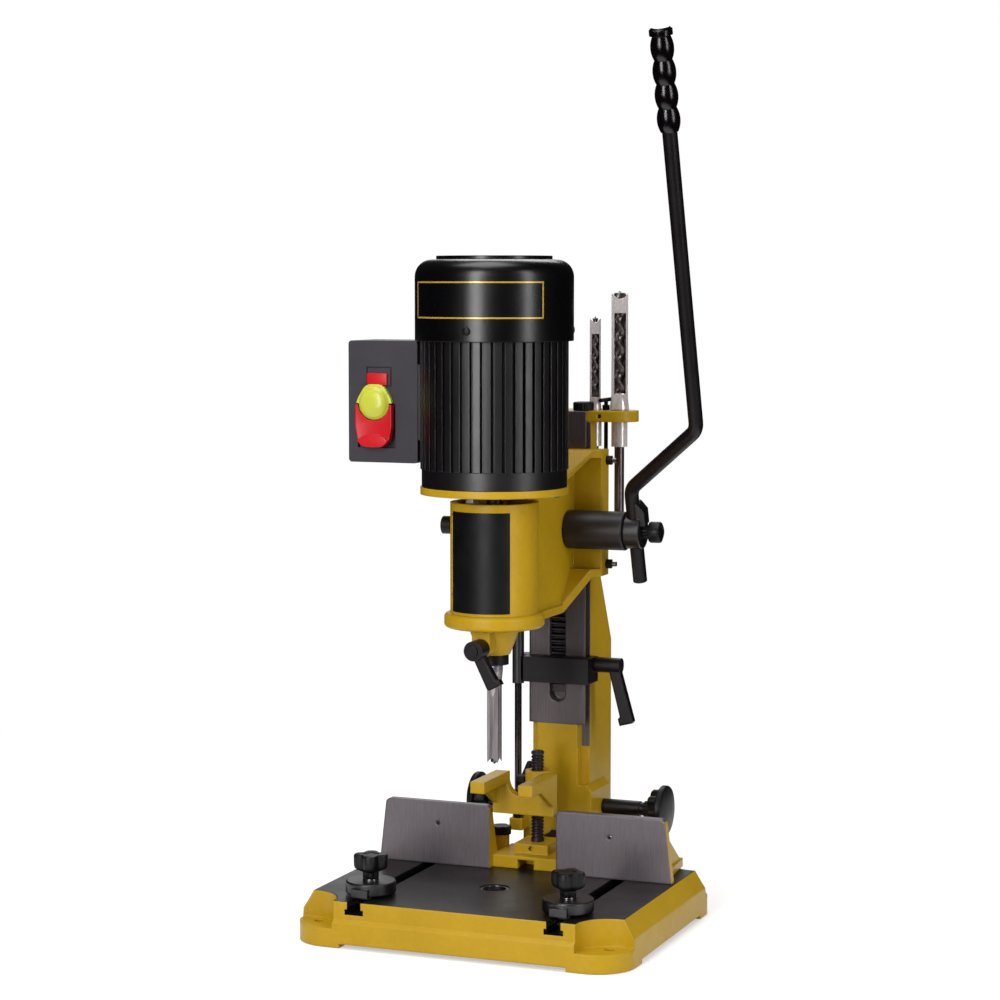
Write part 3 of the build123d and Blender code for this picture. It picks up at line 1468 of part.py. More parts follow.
def clamp_disc(x):
    disc = rod_z(clamp_disc_radius, clamp_disc_bottom(), clamp_disc_top(), x, clamp_y)
    disc = fillet(disc.edges().filter_by(GeomType.CIRCLE), clamp_disc_round)
    nose = clamp_nose_width / 2
    disc += box(x - nose, x + nose, clamp_y - clamp_disc_radius - clamp_nose, clamp_y - clamp_disc_radius / 2,
                clamp_disc_bottom(), clamp_disc_bottom() + clamp_nose_height)
    guide = slot_neck_width / 2 - slide_gap
    disc += box(x - guide, x + guide, clamp_y - clamp_disc_radius / 2, clamp_y + clamp_disc_radius / 2,
                table_top - slot_neck_depth / 2, clamp_disc_bottom() + 1)
    return disc - rod_z(clamp_stud_radius + seat_gap, table_top - slot_depth, clamp_disc_top() + 1, x,
                        clamp_y)


def clamp_bolt(x):
    head_top = table_top - slot_neck_depth - slide_gap
    half = clamp_head_width / 2
    bolt = box(x - half, x + half, clamp_y - half, clamp_y + half, head_top - clamp_head_height, head_top)
    washer_top = clamp_disc_top() + clamp_washer_height
    bolt += rod_z(clamp_stud_radius, head_top - 1, washer_top + clamp_knob_neck_height, x, clamp_y)
    return bolt + rod_z(clamp_washer_radius, clamp_disc_top(), washer_top, x, clamp_y)


def clamp_knob(x):
    base = clamp_disc_top() + clamp_washer_height + slide_gap
    neck_top = base + clamp_knob_neck_height
    knob = rod_z(clamp_washer_radius, base, neck_top + 1, x, clamp_y)
    knob += lobed(clamp_knob_radius, clamp_knob_lobes, clamp_knob_dip, neck_top,
                  neck_top + clamp_knob_height, x, clamp_y)
    return knob - rod_z(clamp_stud_radius + run_gap, base - 1, base + clamp_knob_neck_height + 1, x,
                        clamp_y)


def switch_box():
    right = switch_left + switch_width
    top = switch_bottom + switch_height
    back = switch_front + switch_depth
    body = box(switch_left, right, switch_front, back, switch_bottom, top)
    body = fillet(body.edges().filter_by(Axis.Y), switch_round)
    body -= box(switch_left + switch_wall, right - switch_wall, switch_front + paddle_recess + switch_wall,
                back - switch_wall, switch_bottom + switch_wall, top - switch_wall)
    left, high, low, end = paddle_frame()
    body -= box(left - 1, end + 1, switch_front - 1, switch_front + paddle_recess, low - 1, high + 1)
    pin_y, pin_z = paddle_pin()
    reach = paddle_pin_length + slide_gap
    body -= rod_x(paddle_pin_radius + run_gap, left - reach, end + reach, pin_y, pin_z)
    x, z = key_centre()
    return body - rod_y(key_stem_radius + slide_gap, switch_front - 1,
                        switch_front + paddle_recess + switch_wall + 1, x, z)


def paddle_frame():
    left = switch_left + paddle_left_inset
    low = switch_bottom + paddle_bottom_inset
    return left, low + paddle_height, low, left + paddle_width


def paddle_pin():
    left, high, low, end = paddle_frame()
    return switch_front + paddle_recess / 2, high - 1.6 * paddle_pin_radius


def key_centre():
    left, high, low, end = paddle_frame()
    return (left + end) / 2, high + 2


def stop_paddle():
    left, high, low, end = paddle_frame()
    front = switch_front - paddle_proud
    waist = low + 0.5 * paddle_height
    narrow = 0.18 * paddle_width
    plate = prism_y([(left, high), (left, waist), (left + narrow, low), (end - narrow, low), (end, waist),
                     (end, high)], front, front + paddle_thickness)
    plate = fillet(plate.edges().filter_by(Axis.Y).sort_by(Axis.Z)[:4], 0.16 * paddle_width)
    x, z = key_centre()
    plate -= rod_y(key_radius + 2 * slide_gap, front - 1, front + paddle_thickness + 1, x, z)
    ledge = low + 0.33 * paddle_height
    plate += box(left + 0.3 * paddle_width, end - 0.3 * paddle_width, front - paddle_ledge, front + 1,
                 ledge - paddle_ledge, ledge)
    # ears behind the upper corners, with the pins that the paddle rocks on
    pin_y, pin_z = paddle_pin()
    ear = 1.6 * paddle_pin_radius
    for low_x, pin_low in ((left, left - paddle_pin_length), (end - paddle_ear, end - paddle_ear)):
        plate += box(low_x, low_x + paddle_ear, front + 1, pin_y, pin_z - ear, pin_z + ear)
        plate += rod_x(ear, low_x, low_x + paddle_ear, pin_y, pin_z)
        plate += rod_x(paddle_pin_radius, pin_low, pin_low + paddle_ear + paddle_pin_length, pin_y, pin_z)
    return plate


def safety_key():
    x, z = key_centre()
    flange = switch_front - slide_gap
    key = rod_y(key_radius, flange - key_height, flange, x, z)
    key = fillet(key.edges().filter_by(GeomType.CIRCLE).sort_by(Axis.Y)[0], 0.6 * key_height)
    # shoulders as wide as the paddle, over its upper edge
    wide = paddle_width / 2 - 0.5
    cap = 0.5 * key_radius
    top = z + key_radius + 2.5
    key += prism_y([(x - wide, z), (x + wide, z), (x + wide, z + 3), (x + cap, top), (x - cap, top),
                    (x - wide, z + 3)], flange - 0.6 * key_height, flange)
    return key + rod_y(key_stem_radius, flange - 1, switch_front + paddle_recess + switch_wall + 6, x, z)


def write(name, shape):
    solids = shape if isinstance(shape, list) else [shape]
    for solid in solids:
        assert len(solid.solids()) == 1, f"{name} has {len(solid.solids())} solids in one piece"
    export_step(solids[0] if len(solids) == 1 else Compound(children=[s.solids()[0] for s in solids]),
                f"parts/{name}.step")


pieces = [base_casting, table_ring, column, column_bolts, feed_rack, tool_holder, tool_holder_screws,
          chuck_key, gas_spring_rod, gas_spring_cylinder, head_casting, gib_strip, gib_screws,
          mortise_chisel, chisel_collar, chisel_clamp_lever, access_door, door_knob, door_hinge_pin,
          motor_bolts, motor_end_shield, motor_housing, fan_cover, fan_cover_screws, motor_stator,
          motor_bearings, rotor_shaft, cooling_fan, drill_chuck, auger_bit, feed_pinion, feed_shaft,
          feed_hub, feed_lever, index_block, index_knob, lever_grip, depth_stop_block, depth_stop_lever,
          fence, fence_rack, fence_shaft, fence_knobs, fence_lock_knob, hold_down_post, hold_down_fork,
          hold_down_lever, switch_box, stop_paddle, safety_key]
for piece in pieces:
    write(piece.__name__, piece())

for side, x in (("left", -slot_x), ("right", slot_x)):
    write(f"clamp_disc_{side}", clamp_disc(x))
    write(f"clamp_bolt_{side}", clamp_bolt(x))
    write(f"clamp_knob_{side}", clamp_knob(x))

write("stored_chisel_large", stored_chisel(large_size, large_tip, large_x))
write("stored_bit_large", stored_bit(large_size, large_tip, large_bit_end, large_x))
write("stored_chisel_small", stored_chisel(small_size, small_tip, small_x))
write("stored_bit_small", stored_bit(small_size, small_tip, small_bit_end, small_x))
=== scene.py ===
import json
import math

import bmesh
import bpy
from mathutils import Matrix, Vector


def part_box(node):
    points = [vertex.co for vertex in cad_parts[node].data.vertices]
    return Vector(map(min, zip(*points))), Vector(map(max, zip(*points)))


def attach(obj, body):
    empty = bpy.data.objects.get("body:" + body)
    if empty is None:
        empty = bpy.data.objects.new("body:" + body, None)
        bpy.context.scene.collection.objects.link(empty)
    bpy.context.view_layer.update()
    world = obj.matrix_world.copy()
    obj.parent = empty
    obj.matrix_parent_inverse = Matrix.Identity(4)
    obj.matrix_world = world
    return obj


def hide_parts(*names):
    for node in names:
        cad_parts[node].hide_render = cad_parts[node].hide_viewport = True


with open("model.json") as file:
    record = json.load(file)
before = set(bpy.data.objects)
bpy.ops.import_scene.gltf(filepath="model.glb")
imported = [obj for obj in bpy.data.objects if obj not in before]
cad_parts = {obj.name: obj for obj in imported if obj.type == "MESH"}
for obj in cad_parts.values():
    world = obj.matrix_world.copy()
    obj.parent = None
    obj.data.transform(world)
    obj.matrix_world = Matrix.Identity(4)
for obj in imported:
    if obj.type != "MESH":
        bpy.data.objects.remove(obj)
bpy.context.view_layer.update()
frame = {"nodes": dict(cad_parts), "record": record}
nodes = frame["nodes"]
scene = bpy.context.scene
scene.view_settings.view_transform = "Standard"
mm = 0.001
print("frame loaded,", len(nodes), "nodes")


# Small tools for shader nodes and for picking in edit mode

plainWhite = (1, 1, 1, 1)
mostly, squarely = 0.5, 0.9  # how much of a normal lies along an axis


def shade(red, green, blue):  # screen colour, 0 to 255, as the shader takes it
    parts = [c / 255 for c in (red, green, blue)]
    return tuple(((c + 0.055) / 1.055) ** 2.4 if c > 0.04 else c / 12.92 for c in parts) + (1.0,)


def node(tree, kind, sockets=None, **settings):
    made = tree.nodes.new("ShaderNode" + kind)
    for name, value in settings.items():
        setattr(made, name, value)
    for name, value in (sockets or {}).items():
        if isinstance(value, bpy.types.NodeSocket):
            tree.links.new(value, made.inputs[name])
        else:
            made.inputs[name].default_value = value
    return made


def calc(tree, operation, *values):
    return node(tree, "Math", dict(enumerate(values)), operation=operation).outputs[0]


def emptyMaterial(name):
    made = bpy.data.materials.new(name)
    made.use_nodes = True
    made.node_tree.nodes.clear()
    return made, made.node_tree


def bearing(co):  # degrees about Z
    return math.degrees(math.atan2(co.y, co.x))


def pickFaces(piece, test):
    bpy.ops.mesh.select_mode(type="FACE")
    bpy.ops.mesh.select_all(action="DESELECT")
    shape = bmesh.from_edit_mesh(piece.data)
    for face in shape.faces:
        if test(face.calc_center_median(), face.normal):
            face.select_set(True)
    bmesh.update_edit_mesh(piece.data)


# Camera, floor and studio light

cameraPlace = {"at": (1.07274, -2.70456, 0.73241), "down": 4.871, "round": 21.806, "lens": 93.68,
               "sensor": 36.0, "farthest": 100.0}
softBoxes = {
    "frontLight": {"at": (-0.18, -2.64, 1.2), "aim": (0, 0, 0.55), "wide": 0.6, "tall": 2.3, "power": 54},
    "sideLight": {"at": (2.5, -0.9, 1.15), "aim": (0, 0, 0.55), "wide": 0.46, "tall": 2.2, "power": 26},
    "topLight": {"at": (-0.2, -0.3, 2.9), "aim": (0, 0, 0), "wide": 1.5, "tall": 1.5, "power": 34},
    "backLight": {"at": (-0.6, 2.1, 2.5), "aim": (0, 0, 0.4), "wide": 1.4, "tall": 1.4, "power": 22},
}
studio = {"floorSize": 40.0, "floorDrop": 0.0006, "ambient": 0.36, "floorColour": 0.62, "floorGlow": 0.45,
          "fadeFrom": 0.45, "fadeTo": 1.5}
darkCards = {"radius": 5.0, "height": 6.0, "lift": 0.02, "sides": 72, "open": (104, 120), "sweep": 0.8,
             "tone": 0.012}


def setUpCamera():
    bpy.ops.object.camera_add(location=cameraPlace["at"])
    camera = bpy.context.object
    camera.name = "photoCamera"
    camera.rotation_euler = (math.radians(90 - cameraPlace["down"]), 0, math.radians(cameraPlace["round"]))
    camera.data.lens = cameraPlace["lens"]
    camera.data.sensor_width = cameraPlace["sensor"]
    camera.data.clip_end = cameraPlace["farthest"]
    scene.camera = camera


def setUpLights():
    for name, box in softBoxes.items():
        bpy.ops.object.light_add(type="AREA", location=box["at"])
        lamp = bpy.context.object
        lamp.name = name
        lamp.data.shape = "RECTANGLE"
        lamp.data.size = box["wide"]
        lamp.data.size_y = box["tall"]
        lamp.data.energy = box["power"]
        back = [a - b for a, b in zip(box["at"], box["aim"])]
        flat = math.hypot(back[0], back[1])
        lamp.rotation_euler = (math.atan2(flat, back[2]), 0, math.atan2(back[0], -back[1]))


def seenRays(tree):  # rays that look at the background, straight or in a reflection
    rays = node(tree, "LightPath").outputs
    seen = calc(tree, "MAXIMUM", rays["Is Camera Ray"], rays["Is Glossy Ray"])
    return calc(tree, "MAXIMUM", seen, rays["Is Transmission Ray"])


def setUpWorld():
    world = bpy.data.worlds.new("studioWorld")
    scene.world = world
    world.use_nodes = True
    tree = world.node_tree
    tree.nodes.clear()
    dim = node(tree, "Background", {"Color": plainWhite, "Strength": studio["ambient"]})
    white = node(tree, "Background", {"Color": plainWhite, "Strength": 1.0})
    both = node(tree, "MixShader", {0: seenRays(tree), 1: dim.outputs[0], 2: white.outputs[0]})
    node(tree, "OutputWorld", {"Surface": both.outputs[0]})


def layFloor():
    bpy.ops.object.select_all(action="DESELECT")
    bpy.ops.mesh.primitive_plane_add(size=studio["floorSize"], location=(0, 0, -studio["floorDrop"]))
    floor = bpy.context.object
    floor.name = "studioFloor"
    bpy.ops.object.transform_apply(location=True, rotation=True, scale=True)
    paper, tree = emptyMaterial("paperFloor")
    tone = studio["floorColour"]
    matte = node(tree, "BsdfDiffuse", {"Color": (tone, tone, tone, 1)})
    glow = node(tree, "Emission", {"Color": plainWhite, "Strength": studio["floorGlow"]})
    lit = node(tree, "AddShader", {0: matte.outputs[0], 1: glow.outputs[0]})
    far = node(tree, "VectorMath", {0: node(tree, "TexCoord").outputs["Object"]}, operation="LENGTH")
    fade = node(tree, "MapRange", {"Value": far.outputs["Value"], 1: studio["fadeFrom"], 2: studio["fadeTo"]},
                interpolation_type="SMOOTHSTEP")
    white = node(tree, "Emission", {"Color": plainWhite, "Strength": 1.0})
    paged = node(tree, "MixShader", {0: fade.outputs[0], 1: lit.outputs[0], 2: white.outputs[0]})
    both = node(tree, "MixShader", {0: seenRays(tree), 1: matte.outputs[0], 2: paged.outputs[0]})
    node(tree, "OutputMaterial", {"Surface": both.outputs[0]})
    floor.data.materials.append(paper)


def hangDarkCards():  # dark wall, ceiling and far floor with a gap behind, seen only in reflections
    bpy.ops.object.select_all(action="DESELECT")
    middle = darkCards["height"] / 2 + darkCards["lift"]
    bpy.ops.mesh.primitive_cylinder_add(vertices=darkCards["sides"], radius=darkCards["radius"],
                                        depth=darkCards["height"], location=(0, 0, middle))
    cards = bpy.context.object
    cards.name = "darkCards"
    bpy.ops.object.transform_apply(location=True, rotation=True, scale=True)
    bpy.ops.object.mode_set(mode="EDIT")
    pickFaces(cards, lambda co, out: out.z < -mostly)
    bpy.ops.mesh.inset(thickness=darkCards["radius"] - darkCards["sweep"])
    bpy.ops.mesh.delete(type="FACE")
    first, last = darkCards["open"]
    pickFaces(cards, lambda co, out: abs(out.z) < mostly and first < bearing(co) < last)
    bpy.ops.mesh.delete(type="FACE")
    bpy.ops.object.mode_set(mode="OBJECT")
    cloth, tree = emptyMaterial("darkCloth")
    tone = darkCards["tone"]
    glow = node(tree, "Emission", {"Color": (tone, tone, tone, 1), "Strength": 1.0})
    node(tree, "OutputMaterial", {"Surface": glow.outputs[0]})
    cards.data.materials.append(cloth)
    for sight in ("camera", "diffuse", "transmission", "volume_scatter", "shadow"):
        setattr(cards, "visible_" + sight, False)


setUpCamera()
setUpLights()
setUpWorld()
layFloor()
hangDarkCards()
print("camera, floor and lights are up")


# Effects that several finishes share, as node groups

edgeMark = {"samples": 6, "start": 0.995, "full": 0.82}  # how well the rounded normal meets the face's own
grainMix = {"coarse": (3.0, 0.55), "fine": (2.0, 0.5), "wide": (4.0, 0.6), "wideScale": 14.0,
            "fineShare": 0.45, "coarseShare": 0.4, "tones": (0.45, 0.95)}  # noises by detail and roughness
lineMix = {"wide": (4.0, 0.7), "thin": (2.0, 0.6), "thinScale": 3.7, "thinShare": 0.6, "tones": (0.5, 1.1)}
smudgeMix = {"cloud": (5.0, 0.62), "tones": (0.3, 0.7)}


def newGroup(name, takes, gives):
    tree = bpy.data.node_groups.new(name, "ShaderNodeTree")
    for label, kind, value in takes:
        socket = tree.interface.new_socket(label, in_out="INPUT", socket_type="NodeSocket" + kind)
        socket.default_value = value
    for label, kind in gives:
        tree.interface.new_socket(label, in_out="OUTPUT", socket_type="NodeSocket" + kind)
    return tree, tree.nodes.new("NodeGroupInput").outputs, tree.nodes.new("NodeGroupOutput").inputs


def clouds(tree, at, scale, detail, rough):
    made = node(tree, "TexNoise", {"Vector": at, "Scale": scale, "Detail": detail, "Roughness": rough})
    return made.outputs[0]


def spread(tree, value, low, high):  # from low to high becomes 0 to 1
    return node(tree, "MapRange", {"Value": value, 1: low, 2: high}).outputs[0]


def makeSoftEdges():  # rounds the corners for the light and marks them, where a painted highlight goes
    tree, takes, gives = newGroup("softEdges", [("Radius", "Float", 0.001)],
                                  [("Normal", "Vector"), ("Edge", "Float")])
    rounded = node(tree, "Bevel", {"Radius": takes["Radius"]}, samples=edgeMark["samples"]).outputs[0]
    flat = node(tree, "NewGeometry").outputs["Normal"]
    match = node(tree, "VectorMath", {0: rounded, 1: flat}, operation="DOT_PRODUCT").outputs["Value"]
    tree.links.new(rounded, gives["Normal"])
    tree.links.new(spread(tree, match, edgeMark["start"], edgeMark["full"]), gives["Edge"])
    return tree


def makeSurfaceGrain():  # cast skin, orange peel or moulding texture
    tree, takes, gives = newGroup("surfaceGrain", [("Coarse", "Float", 200.0), ("Fine", "Float", 1200.0)],
                                  [("Height", "Float"), ("Tone", "Float")])
    at = node(tree, "TexCoord").outputs["Object"]
    coarse = clouds(tree, at, takes["Coarse"], *grainMix["coarse"])
    fine = clouds(tree, at, takes["Fine"], *grainMix["fine"])
    wide = clouds(tree, at, grainMix["wideScale"], *grainMix["wide"])
    height = calc(tree, "MULTIPLY_ADD", fine, grainMix["fineShare"], coarse)
    tone = calc(tree, "MULTIPLY_ADD", coarse, grainMix["coarseShare"], wide)
    tree.links.new(height, gives["Height"])
    tree.links.new(spread(tree, tone, *grainMix["tones"]), gives["Tone"])
    return tree


def makeBrushLines():  # grinding and brushing lines, drawn out along one axis; on the tool steel they are painted highlight streaks
    tree, takes, gives = newGroup("brushLines", [("Stretch", "Vector", (30.0, 30.0, 900.0))],
                                  [("Lines", "Float")])
    at = node(tree, "TexCoord").outputs["Object"]
    drawn = node(tree, "VectorMath", {0: at, 1: takes["Stretch"]}, operation="MULTIPLY").outputs[0]
    wide = clouds(tree, drawn, 1.0, *lineMix["wide"])
    thin = clouds(tree, drawn, lineMix["thinScale"], *lineMix["thin"])
    lines = calc(tree, "MULTIPLY_ADD", thin, lineMix["thinShare"], wide)
    tree.links.new(spread(tree, lines, *lineMix["tones"]), gives["Lines"])
    return tree


def makeSmudges():  # uneven gloss from handling and polishing
    tree, takes, gives = newGroup("handSmudges", [("Scale", "Float", 20.0)], [("Smudge", "Float")])
    at = node(tree, "TexCoord").outputs["Object"]
    cloud = clouds(tree, at, takes["Scale"], *smudgeMix["cloud"])
    tree.links.new(spread(tree, cloud, *smudgeMix["tones"]), gives["Smudge"])
    return tree


softEdges = makeSoftEdges()
surfaceGrain = makeSurfaceGrain()
brushLines = makeBrushLines()
handSmudges = makeSmudges()


def placeGroup(tree, group, **values):
    made = tree.nodes.new("ShaderNodeGroup")
    made.node_tree = group
    for name, value in values.items():
        made.inputs[name].default_value = value
    return made.outputs


def blendColour(tree, share, low, high):
    return node(tree, "Mix", {0: share, 6: low, 7: high}, data_type="RGBA").outputs[2]


def blendValue(tree, share, low, high):
    return node(tree, "Mix", {0: share, 2: low, 3: high}, data_type="FLOAT").outputs[0]


# Finishes: each takes its own values, and bare metal shows where a mask says so

# each paint's edge colour is a lighter tint, painted along the rounded edges as a highlight
mustard = {"colour": shade(184, 147, 20), "dark": shade(171, 135, 14), "edge": shade(202, 165, 54),
           "edgeHighlight": 0.5, "rough": (0.32, 0.44), "shine": 0.26, "coarse": 160.0, "fine": 1100.0,
           "bump": 0.0002, "round": 0.0028, "smudge": 16.0}
motorBlack = {"colour": shade(11, 6, 10), "dark": shade(7, 4, 7), "edge": shade(30, 26, 30),
              "edgeHighlight": 0.15, "rough": (0.34, 0.42), "shine": 0.72, "coarse": 420.0, "fine": 2200.0,
              "bump": 0.00006, "round": 0.0012, "smudge": 22.0}
glossBlack = {"colour": shade(5, 3, 5), "dark": shade(3, 2, 3), "edge": shade(22, 19, 23),
              "edgeHighlight": 0.35, "rough": (0.26, 0.32), "shine": 0.5, "coarse": 240.0, "fine": 1500.0,
              "bump": 0.00003, "round": 0.0016, "smudge": 18.0}
# feed hub: a lighter copy of the black paint, a painted sheen of a broad reflection
hubBlackPaintedSheen = {"colour": shade(30, 26, 29), "dark": shade(24, 20, 23), "edge": shade(48, 44, 47),
            "edgeHighlight": 0.2, "rough": (0.4, 0.5), "shine": 0.5, "coarse": 420.0, "fine": 2200.0,
            "bump": 0.00004, "round": 0.0012, "smudge": 26.0}
steelBlack = {"colour": shade(17, 9, 15), "dark": shade(12, 6, 10), "edge": shade(40, 37, 39),
              "edgeHighlight": 0.5, "rough": (0.36, 0.5), "shine": 0.32, "coarse": 500.0, "fine": 2600.0,
              "bump": 0.00005, "round": 0.001, "smudge": 30.0}
knobBlack = {"colour": shade(11, 9, 12), "dark": shade(8, 6, 8), "edge": shade(30, 28, 32),
             "edgeHighlight": 0.4, "rough": (0.38, 0.52), "shine": 0.3, "coarse": 700.0, "fine": 3200.0,
             "bump": 0.00005, "round": 0.0013, "smudge": 34.0}
gripBlack = {"colour": shade(7, 3, 6), "dark": shade(5, 2, 4), "edge": shade(22, 20, 22),
             "edgeHighlight": 0.3, "rough": (0.13, 0.2), "shine": 0.55, "coarse": 900.0, "fine": 3600.0,
             "bump": 0.00007, "round": 0.001, "smudge": 40.0}
switchGrey = {"colour": shade(64, 60, 66), "dark": shade(54, 50, 56), "edge": shade(78, 75, 81),
              "edgeHighlight": 0.4, "rough": (0.42, 0.55), "shine": 0.22, "coarse": 800.0, "fine": 3400.0,
              "bump": 0.00006, "round": 0.0016, "smudge": 24.0}
paddleRed = {"colour": shade(204, 22, 34), "dark": shade(184, 16, 26), "edge": shade(228, 72, 78),
             "edgeHighlight": 0.5, "rough": (0.26, 0.38), "shine": 0.3, "coarse": 600.0, "fine": 2600.0,
             "bump": 0.00004, "round": 0.001, "smudge": 40.0}
keyYellow = {"colour": shade(200, 204, 70), "dark": shade(188, 192, 56), "edge": shade(232, 230, 130),
             "edgeHighlight": 0.5, "rough": (0.24, 0.36), "shine": 0.5, "coarse": 600.0, "fine": 2600.0,
             "bump": 0.00003, "round": 0.001, "smudge": 40.0}
# machined table iron: darkened far below bare metal, a painted dark reflection
tableIronPaintedDarkReflection = {"colour": shade(34, 30, 31), "dark": shade(24, 21, 22), "metal": 0.5, "rough": (0.3, 0.42),
             "lines": (60.0, 1400.0, 60.0), "bump": 0.00002}
fenceIron = {"colour": shade(126, 118, 122), "dark": shade(96, 90, 94), "metal": 0.6, "rough": (0.34, 0.48),
             "lines": (1500.0, 60.0, 40.0), "bump": 0.00002}
wayIron = {"colour": shade(116, 107, 109), "dark": shade(82, 75, 77), "metal": 0.7, "rough": (0.28, 0.42),
           "lines": (1500.0, 900.0, 24.0), "bump": 0.00002}
brightSteel = {"colour": shade(168, 164, 164), "dark": shade(118, 114, 115), "metal": 1.0,
               "rough": (0.2, 0.34), "lines": (700.0, 700.0, 60.0), "bump": 0.000012, "round": 0.0006}
# tool steel: partly ground lines, mostly painted vertical highlight streaks with painted dark reflection
# between them
toolSteelPaintedStreaks = {"colour": shade(206, 197, 199), "dark": shade(84, 77, 79), "metal": 0.55,
             "rough": (0.16, 0.26), "lines": (240.0, 240.0, 5.0), "bump": 0.000012, "round": 0.0005}
# stored chisels: colour raised to near white with little metal, a painted bright reflection on polished steel
chiselSteelPaintedReflection = {"colour": shade(240, 232, 230), "dark": shade(214, 206, 204), "metal": 0.35,
                "rough": (0.2, 0.32), "lines": (900.0, 900.0, 60.0), "bump": 0.000006, "round": 0.0005}
twistSteel = {"colour": shade(140, 132, 132), "dark": shade(92, 86, 86), "metal": 1.0,
              "rough": (0.3, 0.42), "lines": (700.0, 700.0, 200.0), "bump": 0.000008, "round": 0.0004}
goldTrim = {"colour": shade(206, 170, 76), "dark": shade(186, 150, 60), "metal": 0.3,
            "rough": (0.24, 0.36), "lines": (300.0, 300.0, 300.0), "bump": 0.000006, "round": 0.0003}
# chrome rod: darkened far below its own brightness, a painted dark reflection
chromePaintedDarkReflection = {"colour": shade(84, 77, 81), "dark": shade(62, 56, 60), "metal": 1.0,
             "rough": (0.12, 0.22), "lines": (300.0, 300.0, 500.0), "bump": 0.000006, "round": 0.0006}
rackSteel = {"colour": shade(86, 80, 84), "dark": shade(48, 44, 47), "metal": 0.9,
             "rough": (0.34, 0.5), "lines": (900.0, 400.0, 300.0), "bump": 0.00002, "round": 0.0006}
gibBrass = {"colour": shade(180, 148, 86), "dark": shade(140, 112, 60), "metal": 1.0,
            "rough": (0.26, 0.42), "lines": (500.0, 900.0, 80.0), "bump": 0.00002, "round": 0.0006}
coreIron = {"colour": shade(96, 94, 96), "dark": shade(58, 56, 58), "metal": 0.9,
            "rough": (0.4, 0.55), "lines": (120.0, 120.0, 2400.0), "bump": 0.00004, "round": 0.0008}
metalGloss = {"smudge": 28.0, "lineShare": 0.4}


def newFinish(name):
    finish, tree = emptyMaterial(name)
    shader = tree.nodes.new("ShaderNodeBsdfPrincipled")
    node(tree, "OutputMaterial", {"Surface": shader.outputs[0]})
    return finish, tree, shader


def paintLook(tree, look):
    grain = placeGroup(tree, surfaceGrain, Coarse=look["coarse"], Fine=look["fine"])
    smudge = placeGroup(tree, handSmudges, Scale=look["smudge"])
    edges = placeGroup(tree, softEdges, Radius=look["round"])
    # painted highlight: a lighter colour along every rounded edge
    paintedEdgeHighlight = calc(tree, "MULTIPLY", edges["Edge"], look["edgeHighlight"])
    colour = blendColour(tree, grain["Tone"], look["dark"], look["colour"])
    colour = blendColour(tree, paintedEdgeHighlight, colour, look["edge"])
    rough = blendValue(tree, smudge["Smudge"], *look["rough"])
    return colour, rough, grain["Height"], edges["Normal"]


def metalLook(tree, look):
    lines = placeGroup(tree, brushLines, Stretch=look["lines"])
    smudge = placeGroup(tree, handSmudges, Scale=metalGloss["smudge"])
    colour = blendColour(tree, lines["Lines"], look["dark"], look["colour"])
    mixed = calc(tree, "MULTIPLY_ADD", lines["Lines"], metalGloss["lineShare"], smudge["Smudge"])
    share = calc(tree, "DIVIDE", mixed, 1 + metalGloss["lineShare"])
    return colour, blendValue(tree, share, *look["rough"]), lines["Lines"]


def roughen(tree, shader, height, distance, normal):
    bump = node(tree, "Bump", {"Height": height, "Distance": distance, "Strength": 1.0, "Normal": normal})
    tree.links.new(bump.outputs[0], shader.inputs["Normal"])


def paintFinish(name, look):
    finish, tree, shader = newFinish(name)
    colour, rough, height, normal = paintLook(tree, look)
    tree.links.new(colour, shader.inputs["Base Color"])
    tree.links.new(rough, shader.inputs["Roughness"])
    shader.inputs["Specular IOR Level"].default_value = look["shine"]
    roughen(tree, shader, height, look["bump"], normal)
    return finish


def metalFinish(name, look):
    finish, tree, shader = newFinish(name)
    colour, rough, height = metalLook(tree, look)
    edges = placeGroup(tree, softEdges, Radius=look["round"])
    tree.links.new(colour, shader.inputs["Base Color"])
    tree.links.new(rough, shader.inputs["Roughness"])
    shader.inputs["Metallic"].default_value = look["metal"]
    roughen(tree, shader, height, look["bump"], edges["Normal"])
    return finish


def machinedFinish(name, paint, metal, whereBare):
    finish, tree, shader = newFinish(name)
    colour, rough, height, normal = paintLook(tree, paint)
    bareColour, bareRough, bareHeight = metalLook(tree, metal)
    bare = whereBare(tree)
    tree.links.new(blendColour(tree, bare, colour, bareColour), shader.inputs["Base Color"])
    tree.links.new(blendValue(tree, bare, rough, bareRough), shader.inputs["Roughness"])
    tree.links.new(blendValue(tree, bare, 0.0, metal["metal"]), shader.inputs["Metallic"])
    shader.inputs["Specular IOR Level"].default_value = paint["shine"]
    scratches = calc(tree, "MULTIPLY", bareHeight, metal["bump"] / paint["bump"])
    roughen(tree, shader, blendValue(tree, bare, height, scratches), paint["bump"], normal)
    return finish


# Masks of the bare metal, by place and facing

def readPlace(tree):
    coords = node(tree, "TexCoord")
    at = node(tree, "SeparateXYZ", {0: coords.outputs["Object"]}).outputs
    facing = node(tree, "SeparateXYZ", {0: coords.outputs["Normal"]}).outputs
    return at, facing


def over(tree, value, limit):
    return calc(tree, "GREATER_THAN", value, limit)


def under(tree, value, limit):
    return calc(tree, "LESS_THAN", value, limit)


def allOf(tree, *masks):
    result = masks[0]
    for mask in masks[1:]:
        result = calc(tree, "MULTIPLY", result, mask)
    return result


def anyOf(tree, *masks):
    result = masks[0]
    for mask in masks[1:]:
        result = calc(tree, "MAXIMUM", result, mask)
    return result


def between(tree, value, low, high):
    return allOf(tree, over(tree, value, low), under(tree, value, high))


